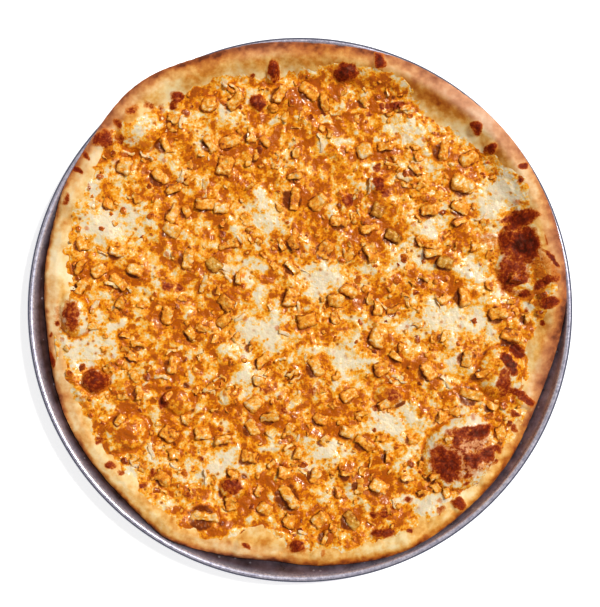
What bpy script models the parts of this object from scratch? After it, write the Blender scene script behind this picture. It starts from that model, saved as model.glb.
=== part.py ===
"""A chicken pizza baked in a tapered round pan with a rolled rim.

Units are metres, +Z is up. The origin is the centre of the pan's underside.
The pan is spun from sheet, the dough lies in it, the melted cheese and sauce lie in the
dough, and the diced chicken lies on the cheese.
"""

import math
import random

import bmesh
import bpy
from mathutils import Euler, Matrix, Vector

MM = 0.001

# The pan, spun from one sheet.
PAN_RADIUS = 210 * MM
PAN_HEIGHT = 25.4 * MM
PAN_SHEET = 1.2 * MM
PAN_FLOOR_RADIUS = 186 * MM
PAN_CORNER_RADIUS = 7 * MM
PAN_BEAD_RADIUS = 2.6 * MM
PAN_STEPS = 64
PAN_CORNER_STEPS = 3
PAN_BEAD_STEPS = 6

# The gaps that keep neighbouring solids apart.
GAP = 0.3 * MM
SIDE_GAP = 0.8 * MM
CHEESE_SIDE_GAP = 0.8 * MM

# The dough. It lies a little off the pan's centre, and laps over the rim at the back.
PIZZA_RADIUS = 203.4 * MM
PIZZA_SHIFT = (0.9 * MM, 4.8 * MM)
# Where the edge bulges or draws in: angle and half width in degrees, amount in mm.
EDGE_LOBES = (
    (20, 18, 1.8),
    (42, 10, 1.5),
    (85, 12, -3.0),
    (126, 12, 7.0),
    (163, 8, -1.8),
    (184, 16, -5.0),
    (240, 9, 4.8),
    (264, 7, -2.5),
    (294, 13, 3.6),
    (340, 15, -5.0),
)
DOUGH_STEPS = 120
DOUGH_BASE = PAN_SHEET + GAP
DOUGH_TAPER = 15 * MM
DOUGH_CLEAR_OF_CORNER = 4 * MM
DOUGH_UNDER_CHEESE = 14.5 * MM
EDGE_ABOVE_WALL = 1.5 * MM
EDGE_HEIGHT_LAPPED = 27.6 * MM
LAP_START = 202.5 * MM
LAP_END = 204.8 * MM
CREST_RISE = 4.0 * MM
CREST_INSET = 9 * MM
RIM_WIDTH = 31 * MM

# The cheese and sauce. Its border wanders between the rim's crest and the flat middle.
CHEESE_TOP = 19 * MM
CHEESE_LIP = 0.3 * MM
CHEESE_RADIUS = 187 * MM
CHEESE_LOBES = (
    (5, 7, 6.0),
    (30, 6, 8.0),
    (55, 8, -8.0),
    (70, 6, 6.0),
    (95, 9, -5.0),
    (112, 7, 4.0),
    (137, 10, 10.0),
    (176, 7, -9.0),
    (189, 6, 8.0),
    (218, 16, -3.0),
    (245, 8, 3.0),
    (260, 8, -15.0),
    (318, 10, 4.0),
    (350, 8, -8.0),
)
CHEESE_CELLS = 36
WAVE_HEIGHT = 0.7 * MM
WAVE_LENGTHS = (64 * MM, 47 * MM, 35 * MM)
WAVE_SEED = 11

# Bubbles and blisters that rise from dough and cheese, in mm and degrees:
# x, y, length, width, turn, rise.
BLISTERS = (
    (124, -110, 64, 54, 40, 9.0),
    (155, -48, 42, 38, 60, 6.5),
    (174, 43, 68, 46, 80, 5.0),
    (188, 31, 24, 16, 70, 4.0),
    (-122, 140, 38, 33, 30, 7.0),
    (-174, -3, 38, 24, 95, 6.0),
    (-158, -55, 21, 20, 0, 8.0),
    (-51, -137, 24, 20, 20, 5.0),
    (-28, -179, 46, 24, 10, 5.0),
    (-1, -182, 15, 11, 15, 3.5),
    (63, -172, 19, 9, 10, 3.0),
    (122, -149, 12, 10, 0, 3.0),
    (172, -70, 16, 10, -45, 3.0),
    (-21, 182, 17, 11, 80, 5.0),
    (35, 181, 19, 13, 0, 5.0),
    (60, 189, 13, 9, 70, 3.0),
    (134, 139, 13, 11, 60, 3.5),
    (146, 124, 11, 10, 0, 3.0),
    (-32, 160, 16, 14, -30, 4.0),
    (-95, 160, 16, 10, 75, 4.0),
    (-151, 131, 20, 16, 0, 4.0),
    (60, 97, 16, 14, -30, 4.0),
    (35, 82, 15, 9, 70, 3.0),
    (-93, -70, 26, 22, 0, 5.0),
    (-136, -95, 40, 30, 20, 4.0),
    (-53, -67, 20, 17, 0, 4.0),
    (70, -67, 24, 20, 0, 4.0),
)

# The larger diced chicken, in mm and degrees: x, y, length, width, turn.
CHICKEN = (
    (-70, 159, 13, 12, 5),
    (-15, 167, 15, 9, 60),
    (8, 169, 18, 11, -35),
    (-135, 111, 15, 12, 70),
    (-55, 130, 16, 12, 20),
    (-57, 111, 16, 13, 80),
    (-108, 103, 17, 8, -40),
    (-60, 79, 14, 11, 0),
    (-99, 62, 15, 12, -30),
    (-86, 39, 17, 9, 80),
    (-66, 35, 14, 11, -45),
    (-141, 45, 14, 9, -10),
    (-155, 30, 13, 11, 30),
    (-127, 31, 14, 11, -20),
    (-4, 86, 20, 8, 78),
    (-7, 10, 17, 11, 75),
    (14, 83, 16, 13, 40),
    (31, 68, 15, 10, -15),
    (50, 123, 14, 13, 20),
    (60, 77, 15, 12, 70),
    (111, 123, 18, 9, 80),
    (127, 97, 21, 15, -20),
    (130, 117, 16, 12, 30),
    (100, 77, 14, 10, 10),
    (72, 57, 15, 9, -25),
    (112, 37, 14, 10, -15),
    (38, 15, 15, 10, -35),
    (20, 47, 17, 12, 60),
    (127, 11, 17, 9, 100),
    (61, -20, 19, 15, 70),
    (13, -44, 18, 9, -60),
    (63, -45, 15, 12, 15),
    (153, -3, 17, 9, 10),
    (163, -20, 17, 12, -15),
    (129, -37, 15, 9, 80),
    (99, -47, 17, 10, -60),
    (38, -66, 14, 11, 30),
    (16, -84, 14, 10, -20),
    (37, -94, 14, 10, -15),
    (132, -65, 20, 9, -15),
    (61, -137, 16, 12, -25),
    (40, -162, 18, 9, -55),
    (12, -128, 14, 9, 80),
    (-101, -95, 15, 12, -35),
    (-75, -95, 13, 12, 10),
    (-98, -42, 15, 9, 80),
    (-102, -4, 15, 10, 75),
    (-35, -72, 14, 12, 40),
    (-37, -91, 15, 9, -60),
    (-39, -113, 15, 10, -10),
    (-74, -159, 26, 8, -8),
    (-8, -144, 25, 9, -55),
    (-27, -153, 14, 10, -30),
)
DICE_HEIGHT = 8.5 * MM
DICE_SUNK = 3.0 * MM
DICE_BEVEL = 0.14
DICE_SEED = 5

# Small chicken crumbs, fused to the cheese.
CRUMB_COUNT = 58
CRUMB_LENGTHS = (6.5 * MM, 10 * MM)
CRUMB_SUNK = 0.34
CRUMB_SPACING = 15 * MM
CRUMB_CLEAR = 1.5 * MM
CRUMB_BORDER = 9 * MM
CRUMB_SEED = 23

COLOURS = {
    "pan_metal": (0.33, 0.33, 0.36, 0.32, 1.0),
    "baked_dough": (0.80, 0.52, 0.24, 0.62, 0.0),
    "cheese_and_sauce": (0.88, 0.48, 0.12, 0.32, 0.0),
    "sauced_chicken": (0.85, 0.45, 0.13, 0.38, 0.0),
}


def clear_scene():
    for obj in list(bpy.data.objects):
        bpy.data.objects.remove(obj)


def new_collection(name):
    made = bpy.data.collections.new(name)
    bpy.context.scene.collection.children.link(made)
    return made


def material(name):
    """A plain Principled material of the named finish."""
    found = bpy.data.materials.get(name)
    if found:
        return found
    red, green, blue, roughness, metallic = COLOURS[name]
    made = bpy.data.materials.new(name)
    made.use_nodes = True
    shader = made.node_tree.nodes["Principled BSDF"]
    shader.inputs["Base Color"].default_value = (red, green, blue, 1.0)
    shader.inputs["Roughness"].default_value = roughness
    shader.inputs["Metallic"].default_value = metallic
    return made


def add_object(name, bm, collection, finish=None):
    mesh = bpy.data.meshes.new(name)
    bm.to_mesh(mesh)
    bm.free()
    obj = bpy.data.objects.new(name, mesh)
    collection.objects.link(obj)
    if finish:
        mesh.materials.append(material(finish))
    return obj


def ease(t):
    """0 below 0, 1 above 1, and a smooth step between."""
    t = min(1.0, max(0.0, t))
    return t * t * (3 - 2 * t)


def mix(a, b, t):
    return a + (b - a) * t


def lobes(angle, table):
    """The sum of the table's bulges at this angle in degrees."""
    total = 0.0
    for centre, half_width, amount in table:
        off = (angle - centre + 180) % 360 - 180
        total += amount * MM * math.exp(-((off / half_width) ** 2))
    return total


def wall_top():
    """Where the pan's wall meets the bead, on the inner face."""
    return PAN_RADIUS - 2 * PAN_BEAD_RADIUS - 0.2 * MM, PAN_HEIGHT - 1.6 * PAN_BEAD_RADIUS


def wall_lean():
    """The angle of the pan's wall above the horizontal, in degrees."""
    top_radius, top_height = wall_top()
    return math.degrees(math.atan2(top_height - PAN_SHEET, top_radius - PAN_FLOOR_RADIUS))


def wall_radius(height):
    """The inner radius of the pan's straight wall at this height."""
    top_radius, top_height = wall_top()
    share = (height - PAN_SHEET) / (top_height - PAN_SHEET)
    return mix(PAN_FLOOR_RADIUS, top_radius, min(1.0, max(0.0, share)))


def wall_height(radius):
    """The height at which the pan's straight wall has this inner radius."""
    top_radius, top_height = wall_top()
    share = (radius - PAN_FLOOR_RADIUS) / (top_radius - PAN_FLOOR_RADIUS)
    return mix(PAN_SHEET, top_height, min(1.0, max(0.0, share)))


def dough_edge(angle):
    """The radius of the dough's outer edge from the pan's axis."""
    turn = math.radians(angle)
    shift = PIZZA_SHIFT[0] * math.cos(turn) + PIZZA_SHIFT[1] * math.sin(turn)
    return PIZZA_RADIUS + shift + lobes(angle, EDGE_LOBES)


def cheese_edge(angle):
    """The radius of the cheese's border, always inside the rim's crest."""
    wanted = CHEESE_RADIUS + lobes(angle, CHEESE_LOBES)
    return min(wanted, dough_edge(angle) - CREST_INSET - 1.5 * MM)


def lap(angle):
    """1 where the edge laps over the pan's rim, 0 where it stays inside the pan."""
    return ease((dough_edge(angle) - LAP_START) / (LAP_END - LAP_START))


def edge_height(angle):
    """The height of the outer edge: it leans on the tapered wall, or lies over the bead."""
    leaning = wall_height(dough_edge(angle) + SIDE_GAP) + EDGE_ABOVE_WALL
    return mix(leaning, EDGE_HEIGHT_LAPPED, lap(angle))


def dome(x, y, blister):
    """The height that one blister adds at this point."""
    bx, by, length, width, turn, rise = blister
    dx, dy = x - bx * MM, y - by * MM
    c, s = math.cos(math.radians(turn)), math.sin(math.radians(turn))
    along = (dx * c + dy * s) / (0.5 * length * MM)
    across = (dy * c - dx * s) / (0.5 * width * MM)
    inside = 1 - min(1.0, along * along + across * across)
    return rise * MM * inside ** 0.75 if inside > 0 else 0.0


def wave_phases():
    rng = random.Random(WAVE_SEED)
    return [(rng.uniform(0, math.tau), rng.uniform(0, math.tau)) for _ in WAVE_LENGTHS]


WAVES = list(zip(WAVE_LENGTHS, wave_phases()))


def surface_height(x, y):
    """The height of the pizza's top, dough and cheese alike, inside the rim's crest."""
    radius = math.hypot(x, y)
    angle = math.degrees(math.atan2(y, x)) % 360
    inset = dough_edge(angle) - radius
    crest = edge_height(angle) + CREST_RISE - CHEESE_TOP
    height = CHEESE_TOP + crest * ease((RIM_WIDTH - inset) / (RIM_WIDTH - CREST_INSET))
    height += max(dome(x, y, blister) for blister in BLISTERS)
    for length, (a, b) in WAVES:
        height += WAVE_HEIGHT * math.sin(math.tau * x / length + a) * math.sin(math.tau * y / length + b)
    return height


def arc(centre, radius, start, end, steps):
    """Points along an arc in the XZ plane, angles in degrees."""
    points = []
    for i in range(steps + 1):
        turn = math.radians(mix(start, end, i / steps))
        points.append((centre[0] + radius * math.cos(turn), centre[1] + radius * math.sin(turn)))
    return points


def pan_profile():
    """Half the pan's section, from the middle of its floor out, over the bead and back below."""
    lean = wall_lean()
    reach = PAN_CORNER_RADIUS * math.tan(math.radians(lean / 2))
    centre = (PAN_FLOOR_RADIUS - reach, PAN_SHEET + PAN_CORNER_RADIUS)
    bead = (PAN_RADIUS - PAN_BEAD_RADIUS, PAN_HEIGHT - PAN_BEAD_RADIUS)
    inner = arc(centre, PAN_CORNER_RADIUS, -90, lean - 90, PAN_CORNER_STEPS)
    roll = arc(bead, PAN_BEAD_RADIUS, 170, -100, PAN_BEAD_STEPS)
    outer = arc(centre, PAN_CORNER_RADIUS + PAN_SHEET, lean - 90, -90, PAN_CORNER_STEPS)
    side = math.radians(lean - 90)
    top_radius, top_height = wall_top()
    under_bead = (top_radius + PAN_SHEET * math.cos(side), top_height + PAN_SHEET * math.sin(side))
    return [(0, PAN_SHEET), *inner, wall_top(), *roll, under_bead, *outer, (0, 0)]


def make_pan(collection):
    """One spun shell: flat floor, tapered wall and rolled bead."""
    bm = bmesh.new()
    points = [bm.verts.new((r, 0, z)) for r, z in pan_profile()]
    for a, b in zip(points, points[1:]):
        bm.edges.new((a, b))
    pan = add_object("pan", bm, collection, "pan_metal")
    screw = pan.modifiers.new("Spin", "SCREW")
    screw.axis = "Z"
    screw.steps = screw.render_steps = PAN_STEPS
    screw.use_merge_vertices = True
    screw.merge_threshold = 0.00001
    screw.use_normal_calculate = True
    return pan


def dough_section(angle):
    """Half the dough's section at this angle, from the underside out, up and in to the cheese."""
    edge = dough_edge(angle)
    lapped = lap(angle)
    height = edge_height(angle)
    turn = math.radians(angle)

    def against_wall(z, inset):
        return min(edge - inset, wall_radius(z) - SIDE_GAP), z

    def on_top(radius):
        return radius, surface_height(radius * math.cos(turn), radius * math.sin(turn))

    border = cheese_edge(angle)
    crest = edge - CREST_INSET
    shoulder = on_top(crest)[1] - 1.4 * MM
    under_edge = height - mix(1.0, 1.4, lapped) * MM
    return [
        (min(edge - DOUGH_TAPER, PAN_FLOOR_RADIUS - DOUGH_CLEAR_OF_CORNER), DOUGH_BASE),
        against_wall(6 * MM, 8 * MM),
        against_wall(mix(height - 5 * MM, 20 * MM, lapped), 1.2 * MM),
        against_wall(under_edge - mix(1.2, 0.2, lapped) * MM, 0.6 * MM),
        (edge - mix(0.2, 1.3, lapped) * MM, under_edge),
        (edge, height),
        (edge - 1.6 * MM, mix(height, shoulder, 0.62)),
        (edge - 4.6 * MM, shoulder),
        on_top(crest),
        on_top(mix(crest, border, 0.55)),
        on_top(border),
        (border, DOUGH_UNDER_CHEESE),
    ]


def make_dough(collection):
    """The baked base, lofted round from its sections, with a recess that the cheese fills."""
    bm = bmesh.new()
    rings = []
    for step in range(DOUGH_STEPS):
        angle = 360 * step / DOUGH_STEPS
        turn = math.radians(angle)
        section = dough_section(angle)
        rings.append([bm.verts.new((r * math.cos(turn), r * math.sin(turn), z)) for r, z in section])
    for here, after in zip(rings, rings[1:] + rings[:1]):
        for low in range(len(here) - 1):
            bm.faces.new((here[low], after[low], after[low + 1], here[low + 1]))
    bm.faces.new([ring[0] for ring in reversed(rings)])
    bm.faces.new([ring[-1] for ring in rings])
    return add_object("crust", bm, collection, "baked_dough")


def disc_grid(radius_at, cells):
    """A square grid drawn out to a disc whose rim is at radius_at(angle)."""
    bm = bmesh.new()
    bmesh.ops.create_grid(bm, x_segments=cells, y_segments=cells, size=1)
    for vert in bm.verts:
        u, v = vert.co.x, vert.co.y
        x, y = u * math.sqrt(1 - v * v / 2), v * math.sqrt(1 - u * u / 2)
        radius = radius_at(math.degrees(math.atan2(y, x)) % 360)
        vert.co = (x * radius, y * radius, 0)
    return bm


def cheese_solid(underside, lift):
    """The layer of cheese, from a flat underside to its uneven top raised by lift."""
    bm = disc_grid(lambda angle: cheese_edge(angle) - CHEESE_SIDE_GAP, CHEESE_CELLS)
    top = list(bm.faces)
    border = [edge for edge in bm.edges if edge.is_boundary]
    skirt = bmesh.ops.extrude_edge_only(bm, edges=border)["geom"]
    under = [vert for vert in skirt if isinstance(vert, bmesh.types.BMVert)]
    for vert in {vert for face in top for vert in face.verts}:
        vert.co.z = surface_height(vert.co.x, vert.co.y) + CHEESE_LIP + lift
    for vert in under:
        vert.co.z = underside
    under.sort(key=lambda vert: math.atan2(vert.co.y, vert.co.x))
    bm.faces.new(under[::-1])
    bmesh.ops.recalc_face_normals(bm, faces=bm.faces)
    bmesh.ops.triangulate(bm, faces=bm.faces)
    return bm


def chopped_block(length, width, height, rng, bevel):
    """A knife-cut block: a box with its corners pulled about, its upper edges taken off by bevel."""
    bm = bmesh.new()
    bmesh.ops.create_cube(bm, size=1)
    for vert in bm.verts:
        vert.co.x *= length * rng.uniform(0.72, 1.08)
        vert.co.y *= width * rng.uniform(0.70, 1.08)
        vert.co.z *= height * rng.uniform(0.80, 1.10)
    if bevel:
        shown = [edge for edge in bm.edges if max(vert.co.z for vert in edge.verts) > 0]
        bmesh.ops.bevel(bm, geom=shown, offset=bevel * width, segments=1, affect="EDGES")
    bmesh.ops.triangulate(bm, faces=bm.faces)
    return bm


def laid(bm, x, y, z, turn, rng):
    """Turns the block, tips it a little and sets its middle at the point."""
    tip = math.radians(14)
    place = Matrix.Translation(Vector((x, y, z)))
    bm.transform(place @ Euler((rng.uniform(-tip, tip), rng.uniform(-tip, tip), turn)).to_matrix().to_4x4())
    return bm


def crumb_places():
    """Seeded places for the crumbs, spaced apart and clear of the dice, as x, y, length, turn."""
    rng = random.Random(CRUMB_SEED)
    places = []
    while len(places) < CRUMB_COUNT:
        angle, radius = rng.uniform(0, 360), CHEESE_RADIUS * math.sqrt(rng.random())
        length, turn = rng.uniform(*CRUMB_LENGTHS), rng.uniform(0, math.pi)
        x, y = radius * math.cos(math.radians(angle)), radius * math.sin(math.radians(angle))
        if radius > cheese_edge(angle) - CRUMB_BORDER:
            continue
        if any(math.hypot(x - px, y - py) < CRUMB_SPACING for px, py, _, _ in places):
            continue
        if any(
            math.hypot(x - cx * MM, y - cy * MM) < 0.56 * (dice * MM + length) + CRUMB_CLEAR
            for cx, cy, dice, _, _ in CHICKEN
        ):
            continue
        places.append((x, y, length, turn))
    return places


def make_cheese(collection):
    """The cheese with its crumbs joined on."""
    cheese = add_object("cheese", cheese_solid(DOUGH_UNDER_CHEESE + GAP, 0), collection, "cheese_and_sauce")
    crumbs = new_collection("crumbs")
    rng = random.Random(CRUMB_SEED + 1)
    for i, (x, y, length, turn) in enumerate(crumb_places()):
        width, height = length * rng.uniform(0.6, 0.85), length * rng.uniform(0.55, 0.7)
        middle = surface_height(x, y) + (0.5 - CRUMB_SUNK) * height
        block = laid(chopped_block(length, width, height, rng, 0), x, y, middle, turn, rng)
        add_object(f"crumb_{i}", block, crumbs)
    union = cheese.modifiers.new("Fuse crumbs", "BOOLEAN")
    union.operation = "UNION"
    union.operand_type = "COLLECTION"
    union.collection = crumbs
    bpy.context.view_layer.update()
    fused = bpy.data.meshes.new_from_object(cheese.evaluated_get(bpy.context.evaluated_depsgraph_get()))
    cheese.modifiers.clear()
    cheese.data = fused
    for crumb in list(crumbs.objects):
        bpy.data.objects.remove(crumb)
    bpy.data.collections.remove(crumbs)
    return cheese


def make_chicken(collection, cutters):
    """Each die lies in the cheese, and its underside is cut to the cheese's own surface."""
    bed = add_object("cheese_bed", cheese_solid(0, GAP), cutters)
    bed.hide_render = True
    bed.display_type = "WIRE"
    rng = random.Random(DICE_SEED)
    for i, (x, y, length, width, turn) in enumerate(CHICKEN):
        height = DICE_HEIGHT * rng.uniform(0.88, 1.12)
        middle = surface_height(x * MM, y * MM) - DICE_SUNK + 0.5 * height
        block = chopped_block(length * MM, width * MM, height, rng, DICE_BEVEL)
        laid(block, x * MM, y * MM, middle, math.radians(turn), rng)
        die = add_object(f"chicken_{i + 1:02d}", block, collection, "sauced_chicken")
        cut = die.modifiers.new("Seat on cheese", "BOOLEAN")
        cut.operation = "DIFFERENCE"
        cut.object = bed


def main():
    clear_scene()
    pizza = new_collection("chicken_pizza_in_pan")
    cutters = new_collection("cutters")
    make_pan(pizza)
    make_dough(pizza)
    make_cheese(pizza)
    make_chicken(pizza, cutters)


main()
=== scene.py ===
"""Looks of the chicken pizza in its pan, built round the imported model. Metres, +Z up."""

import math
import random

import bmesh
import bpy
import numpy as np
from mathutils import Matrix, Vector


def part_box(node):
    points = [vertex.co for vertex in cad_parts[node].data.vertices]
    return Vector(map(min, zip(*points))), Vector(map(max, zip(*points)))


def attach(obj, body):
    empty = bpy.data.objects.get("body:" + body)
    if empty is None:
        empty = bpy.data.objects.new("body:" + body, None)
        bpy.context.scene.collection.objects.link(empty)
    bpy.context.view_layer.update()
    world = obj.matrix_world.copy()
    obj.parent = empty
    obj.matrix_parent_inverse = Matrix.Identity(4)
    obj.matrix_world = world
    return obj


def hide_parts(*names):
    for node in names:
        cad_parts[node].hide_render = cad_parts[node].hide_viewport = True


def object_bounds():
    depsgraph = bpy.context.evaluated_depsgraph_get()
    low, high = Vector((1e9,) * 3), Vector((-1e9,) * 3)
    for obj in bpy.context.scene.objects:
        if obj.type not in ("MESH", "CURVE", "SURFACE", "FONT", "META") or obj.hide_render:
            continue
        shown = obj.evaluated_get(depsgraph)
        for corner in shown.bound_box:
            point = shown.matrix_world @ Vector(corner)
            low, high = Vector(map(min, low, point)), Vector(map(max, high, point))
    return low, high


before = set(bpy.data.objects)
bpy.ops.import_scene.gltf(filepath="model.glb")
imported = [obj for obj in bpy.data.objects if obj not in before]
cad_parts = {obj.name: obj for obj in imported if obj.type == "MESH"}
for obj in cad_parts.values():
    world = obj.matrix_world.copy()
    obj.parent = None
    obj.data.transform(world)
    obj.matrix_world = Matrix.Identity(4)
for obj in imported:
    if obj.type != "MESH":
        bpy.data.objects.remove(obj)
cad_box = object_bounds()


# The pan is one disc of aluminium, spun over a form to a flat floor and a tapered wall, its
# edge rolled into a bead. Use and baking have left fine turning lines, a brown tint on the
# wall, and dried water spots by the bead. Its colour also holds painted shade: a dark painted
# shadow of the crust low on the wall, deepest on the left, and a dark painted reflection
# under the bead's outer edge.
MM = 0.001
PAN_RADIUS = 0.5 * (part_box("pan")[1].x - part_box("pan")[0].x)
PAN_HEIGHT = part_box("pan")[1].z
PAN_SHEET = 1.2 * MM
PAN_FLOOR_RADIUS = 186 * MM
PAN_CORNER_RADIUS = 7 * MM
PAN_BEAD_RADIUS = 2.6 * MM
PAN_STEPS = 360
PAN_WALL_TOP = (PAN_RADIUS - 2 * PAN_BEAD_RADIUS - 0.2 * MM, PAN_HEIGHT - 1.6 * PAN_BEAD_RADIUS)
PAN_BEAD_CENTRE = (PAN_RADIUS - PAN_BEAD_RADIUS, PAN_HEIGHT - PAN_BEAD_RADIUS)


def paint(red, green, blue):
    """A colour as the eye sees it, 0 to 255, in the linear values that a shader takes."""
    def linear(value):
        share = value / 255
        return share / 12.92 if share <= 0.04045 else ((share + 0.055) / 1.055) ** 2.4
    return linear(red), linear(green), linear(blue), 1.0


def mix(a, b, t):
    return a + (b - a) * t


def new_finish(name):
    """A material with its node tree and its Principled shader."""
    finish = bpy.data.materials.new(name)
    finish.use_nodes = True
    return finish, finish.node_tree, finish.node_tree.nodes["Principled BSDF"]


def node(tree, kind, inputs=None, **settings):
    """Adds a node. Its inputs are values, or the sockets that feed them."""
    made = tree.nodes.new(kind)
    for key, value in settings.items():
        setattr(made, key, value)
    for key, value in (inputs or {}).items():
        if isinstance(value, bpy.types.NodeSocket):
            tree.links.new(value, made.inputs[key])
        else:
            made.inputs[key].default_value = value
    return made


def math_node(tree, operation, a, b=0.0, c=0.0):
    return node(tree, "ShaderNodeMath", {0: a, 1: b, 2: c}, operation=operation).outputs[0]


def ramp(tree, value, stops, as_seen=True):
    """A colour for each value from 0 to 1, from stops of (place, colour as paint takes it)."""
    made = node(tree, "ShaderNodeValToRGB", {"Fac": value})
    keys = made.color_ramp.elements
    while len(keys) < len(stops):
        keys.new(0.5)
    for key, (place, colour) in zip(keys, stops):
        key.position = place
        key.color = paint(*colour) if as_seen else colour
    return made.outputs["Color"]


def band(tree, value, low, high, to_low=0.0, to_high=1.0):
    """Maps low..high to to_low..to_high, and holds the ends beyond them."""
    made = node(tree, "ShaderNodeMapRange", {"Value": value, "From Min": low, "From Max": high})
    made.inputs["To Min"].default_value = to_low
    made.inputs["To Max"].default_value = to_high
    return made.outputs["Result"]


def blend(tree, share, a, b):
    """Colour a with b laid over it by the share."""
    return node(tree, "ShaderNodeMix", {0: share, 6: a, 7: b}, data_type="RGBA").outputs[2]


def speckle(tree, size, detail=2.0, roughness=0.55, place=None):
    """Noise from about 0 to 1, with blots of the given size in metres."""
    place = place or node(tree, "ShaderNodeTexCoord").outputs["Object"]
    inputs = {"Vector": place, "Scale": 1 / size, "Detail": detail, "Roughness": roughness}
    return node(tree, "ShaderNodeTexNoise", inputs).outputs["Fac"]


def cells_of(tree, spacing):
    """Scattered cells: the distance from each one's middle, and a colour of its own."""
    place = node(tree, "ShaderNodeTexCoord").outputs["Object"]
    inputs = {"Vector": place, "Scale": 1 / spacing, "Randomness": 1.0}
    return node(tree, "ShaderNodeTexVoronoi", inputs)


def sway(tree, value, *noises):
    """The value moved up and down by each noise, by its share."""
    for noise, share in noises:
        centred = math_node(tree, "SUBTRACT", noise, 0.5)
        value = math_node(tree, "MULTIPLY_ADD", centred, share * 2, value)
    return value


def bump(tree, height, depth, strength=1.0, under=None):
    inputs = {"Height": height, "Distance": depth, "Strength": strength}
    made = node(tree, "ShaderNodeBump", inputs)
    if under:
        tree.links.new(under, made.inputs["Normal"])
    return made.outputs["Normal"]


def dress(tree, shader, colour, relief, values):
    """Feeds the shader its colour and relief, and sets its single values."""
    tree.links.new(colour, shader.inputs["Base Color"])
    tree.links.new(relief, shader.inputs["Normal"])
    for name, value in values.items():
        shader.inputs[name].default_value = value


def add_object(name, data):
    made = bpy.data.objects.new(name, data)
    bpy.context.scene.collection.objects.link(made)
    return made


def add_field(mesh, name, values, kind="FLOAT", part="value"):
    kept = mesh.attributes.new(name, kind, "POINT")
    kept.data.foreach_set(part, np.asarray(values, np.float32).ravel())


def finish_piece(name, vertices, faces, finish, fields=None):
    """A piece from its points and faces, with its fields of numbers as attributes."""
    mesh = bpy.data.meshes.new(name)
    mesh.from_pydata([], [], [])
    mesh.vertices.add(len(vertices))
    mesh.vertices.foreach_set("co", np.asarray(vertices, np.float32).ravel())
    sides = np.array([len(face) for face in faces], np.int32)
    mesh.loops.add(int(sides.sum()))
    corners = np.concatenate([np.asarray(face, np.int32) for face in faces])
    mesh.loops.foreach_set("vertex_index", corners)
    mesh.polygons.add(len(faces))
    starts = np.concatenate([[0], np.cumsum(sides)[:-1]]).astype(np.int32)
    mesh.polygons.foreach_set("loop_start", starts)
    mesh.update(calc_edges=True)
    mesh.validate()
    for field, values in (fields or {}).items():
        add_field(mesh, field, values)
    mesh.materials.append(finish)
    mesh.shade_smooth()
    return add_object(name, mesh)


def ring_faces(rows, steps):
    """Quads between closed rings of points, ring after ring, and a fan over each end.

    The middles of the fans are the two points after the last ring.
    """
    faces = []
    for row in range(rows - 1):
        for step in range(steps):
            after = (step + 1) % steps
            faces.append((row * steps + step, row * steps + after,
                          (row + 1) * steps + after, (row + 1) * steps + step))
    last = (rows - 1) * steps
    for step in range(steps):
        after = (step + 1) % steps
        faces.append((rows * steps, after, step))
        faces.append((rows * steps + 1, last + step, last + after))
    return faces


def arc(centre, radius, start, end, steps):
    """Points along an arc in the plane of radius and height, angles in degrees."""
    turns = [math.radians(mix(start, end, i / steps)) for i in range(steps + 1)]
    return [(centre[0] + radius * math.cos(t), centre[1] + radius * math.sin(t)) for t in turns]


def between(start, end, shares):
    return [(mix(start[0], end[0], share), mix(start[1], end[1], share)) for share in shares]


def pan_section():
    """Half the pan's section, from the middle of its floor out, over the bead and back below."""
    run = PAN_WALL_TOP[0] - PAN_FLOOR_RADIUS
    lean = math.degrees(math.atan2(PAN_WALL_TOP[1] - PAN_SHEET, run))
    reach = PAN_CORNER_RADIUS * math.tan(math.radians(lean / 2))
    corner = (PAN_FLOOR_RADIUS - reach, PAN_SHEET + PAN_CORNER_RADIUS)
    side = math.radians(lean - 90)
    under = (PAN_WALL_TOP[0] + PAN_SHEET * math.cos(side),
             PAN_WALL_TOP[1] + PAN_SHEET * math.sin(side))
    floor = [(PAN_FLOOR_RADIUS * share, PAN_SHEET) for share in (0.02, 0.3, 0.6, 0.85)]
    below = [(radius, 0) for radius, _ in reversed(floor)]
    inner = arc(corner, PAN_CORNER_RADIUS, -90, lean - 90, 8)
    bead = arc(PAN_BEAD_CENTRE, PAN_BEAD_RADIUS, 170, -100, 20)
    outer = arc(corner, PAN_CORNER_RADIUS + PAN_SHEET, lean - 90, -90, 8)
    wall = between(inner[-1], PAN_WALL_TOP, (0.3, 0.6, 0.85, 1))
    back = between(under, outer[0], (0, 0.3, 0.6))
    return floor + inner + wall + bead + back + outer + below


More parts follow.
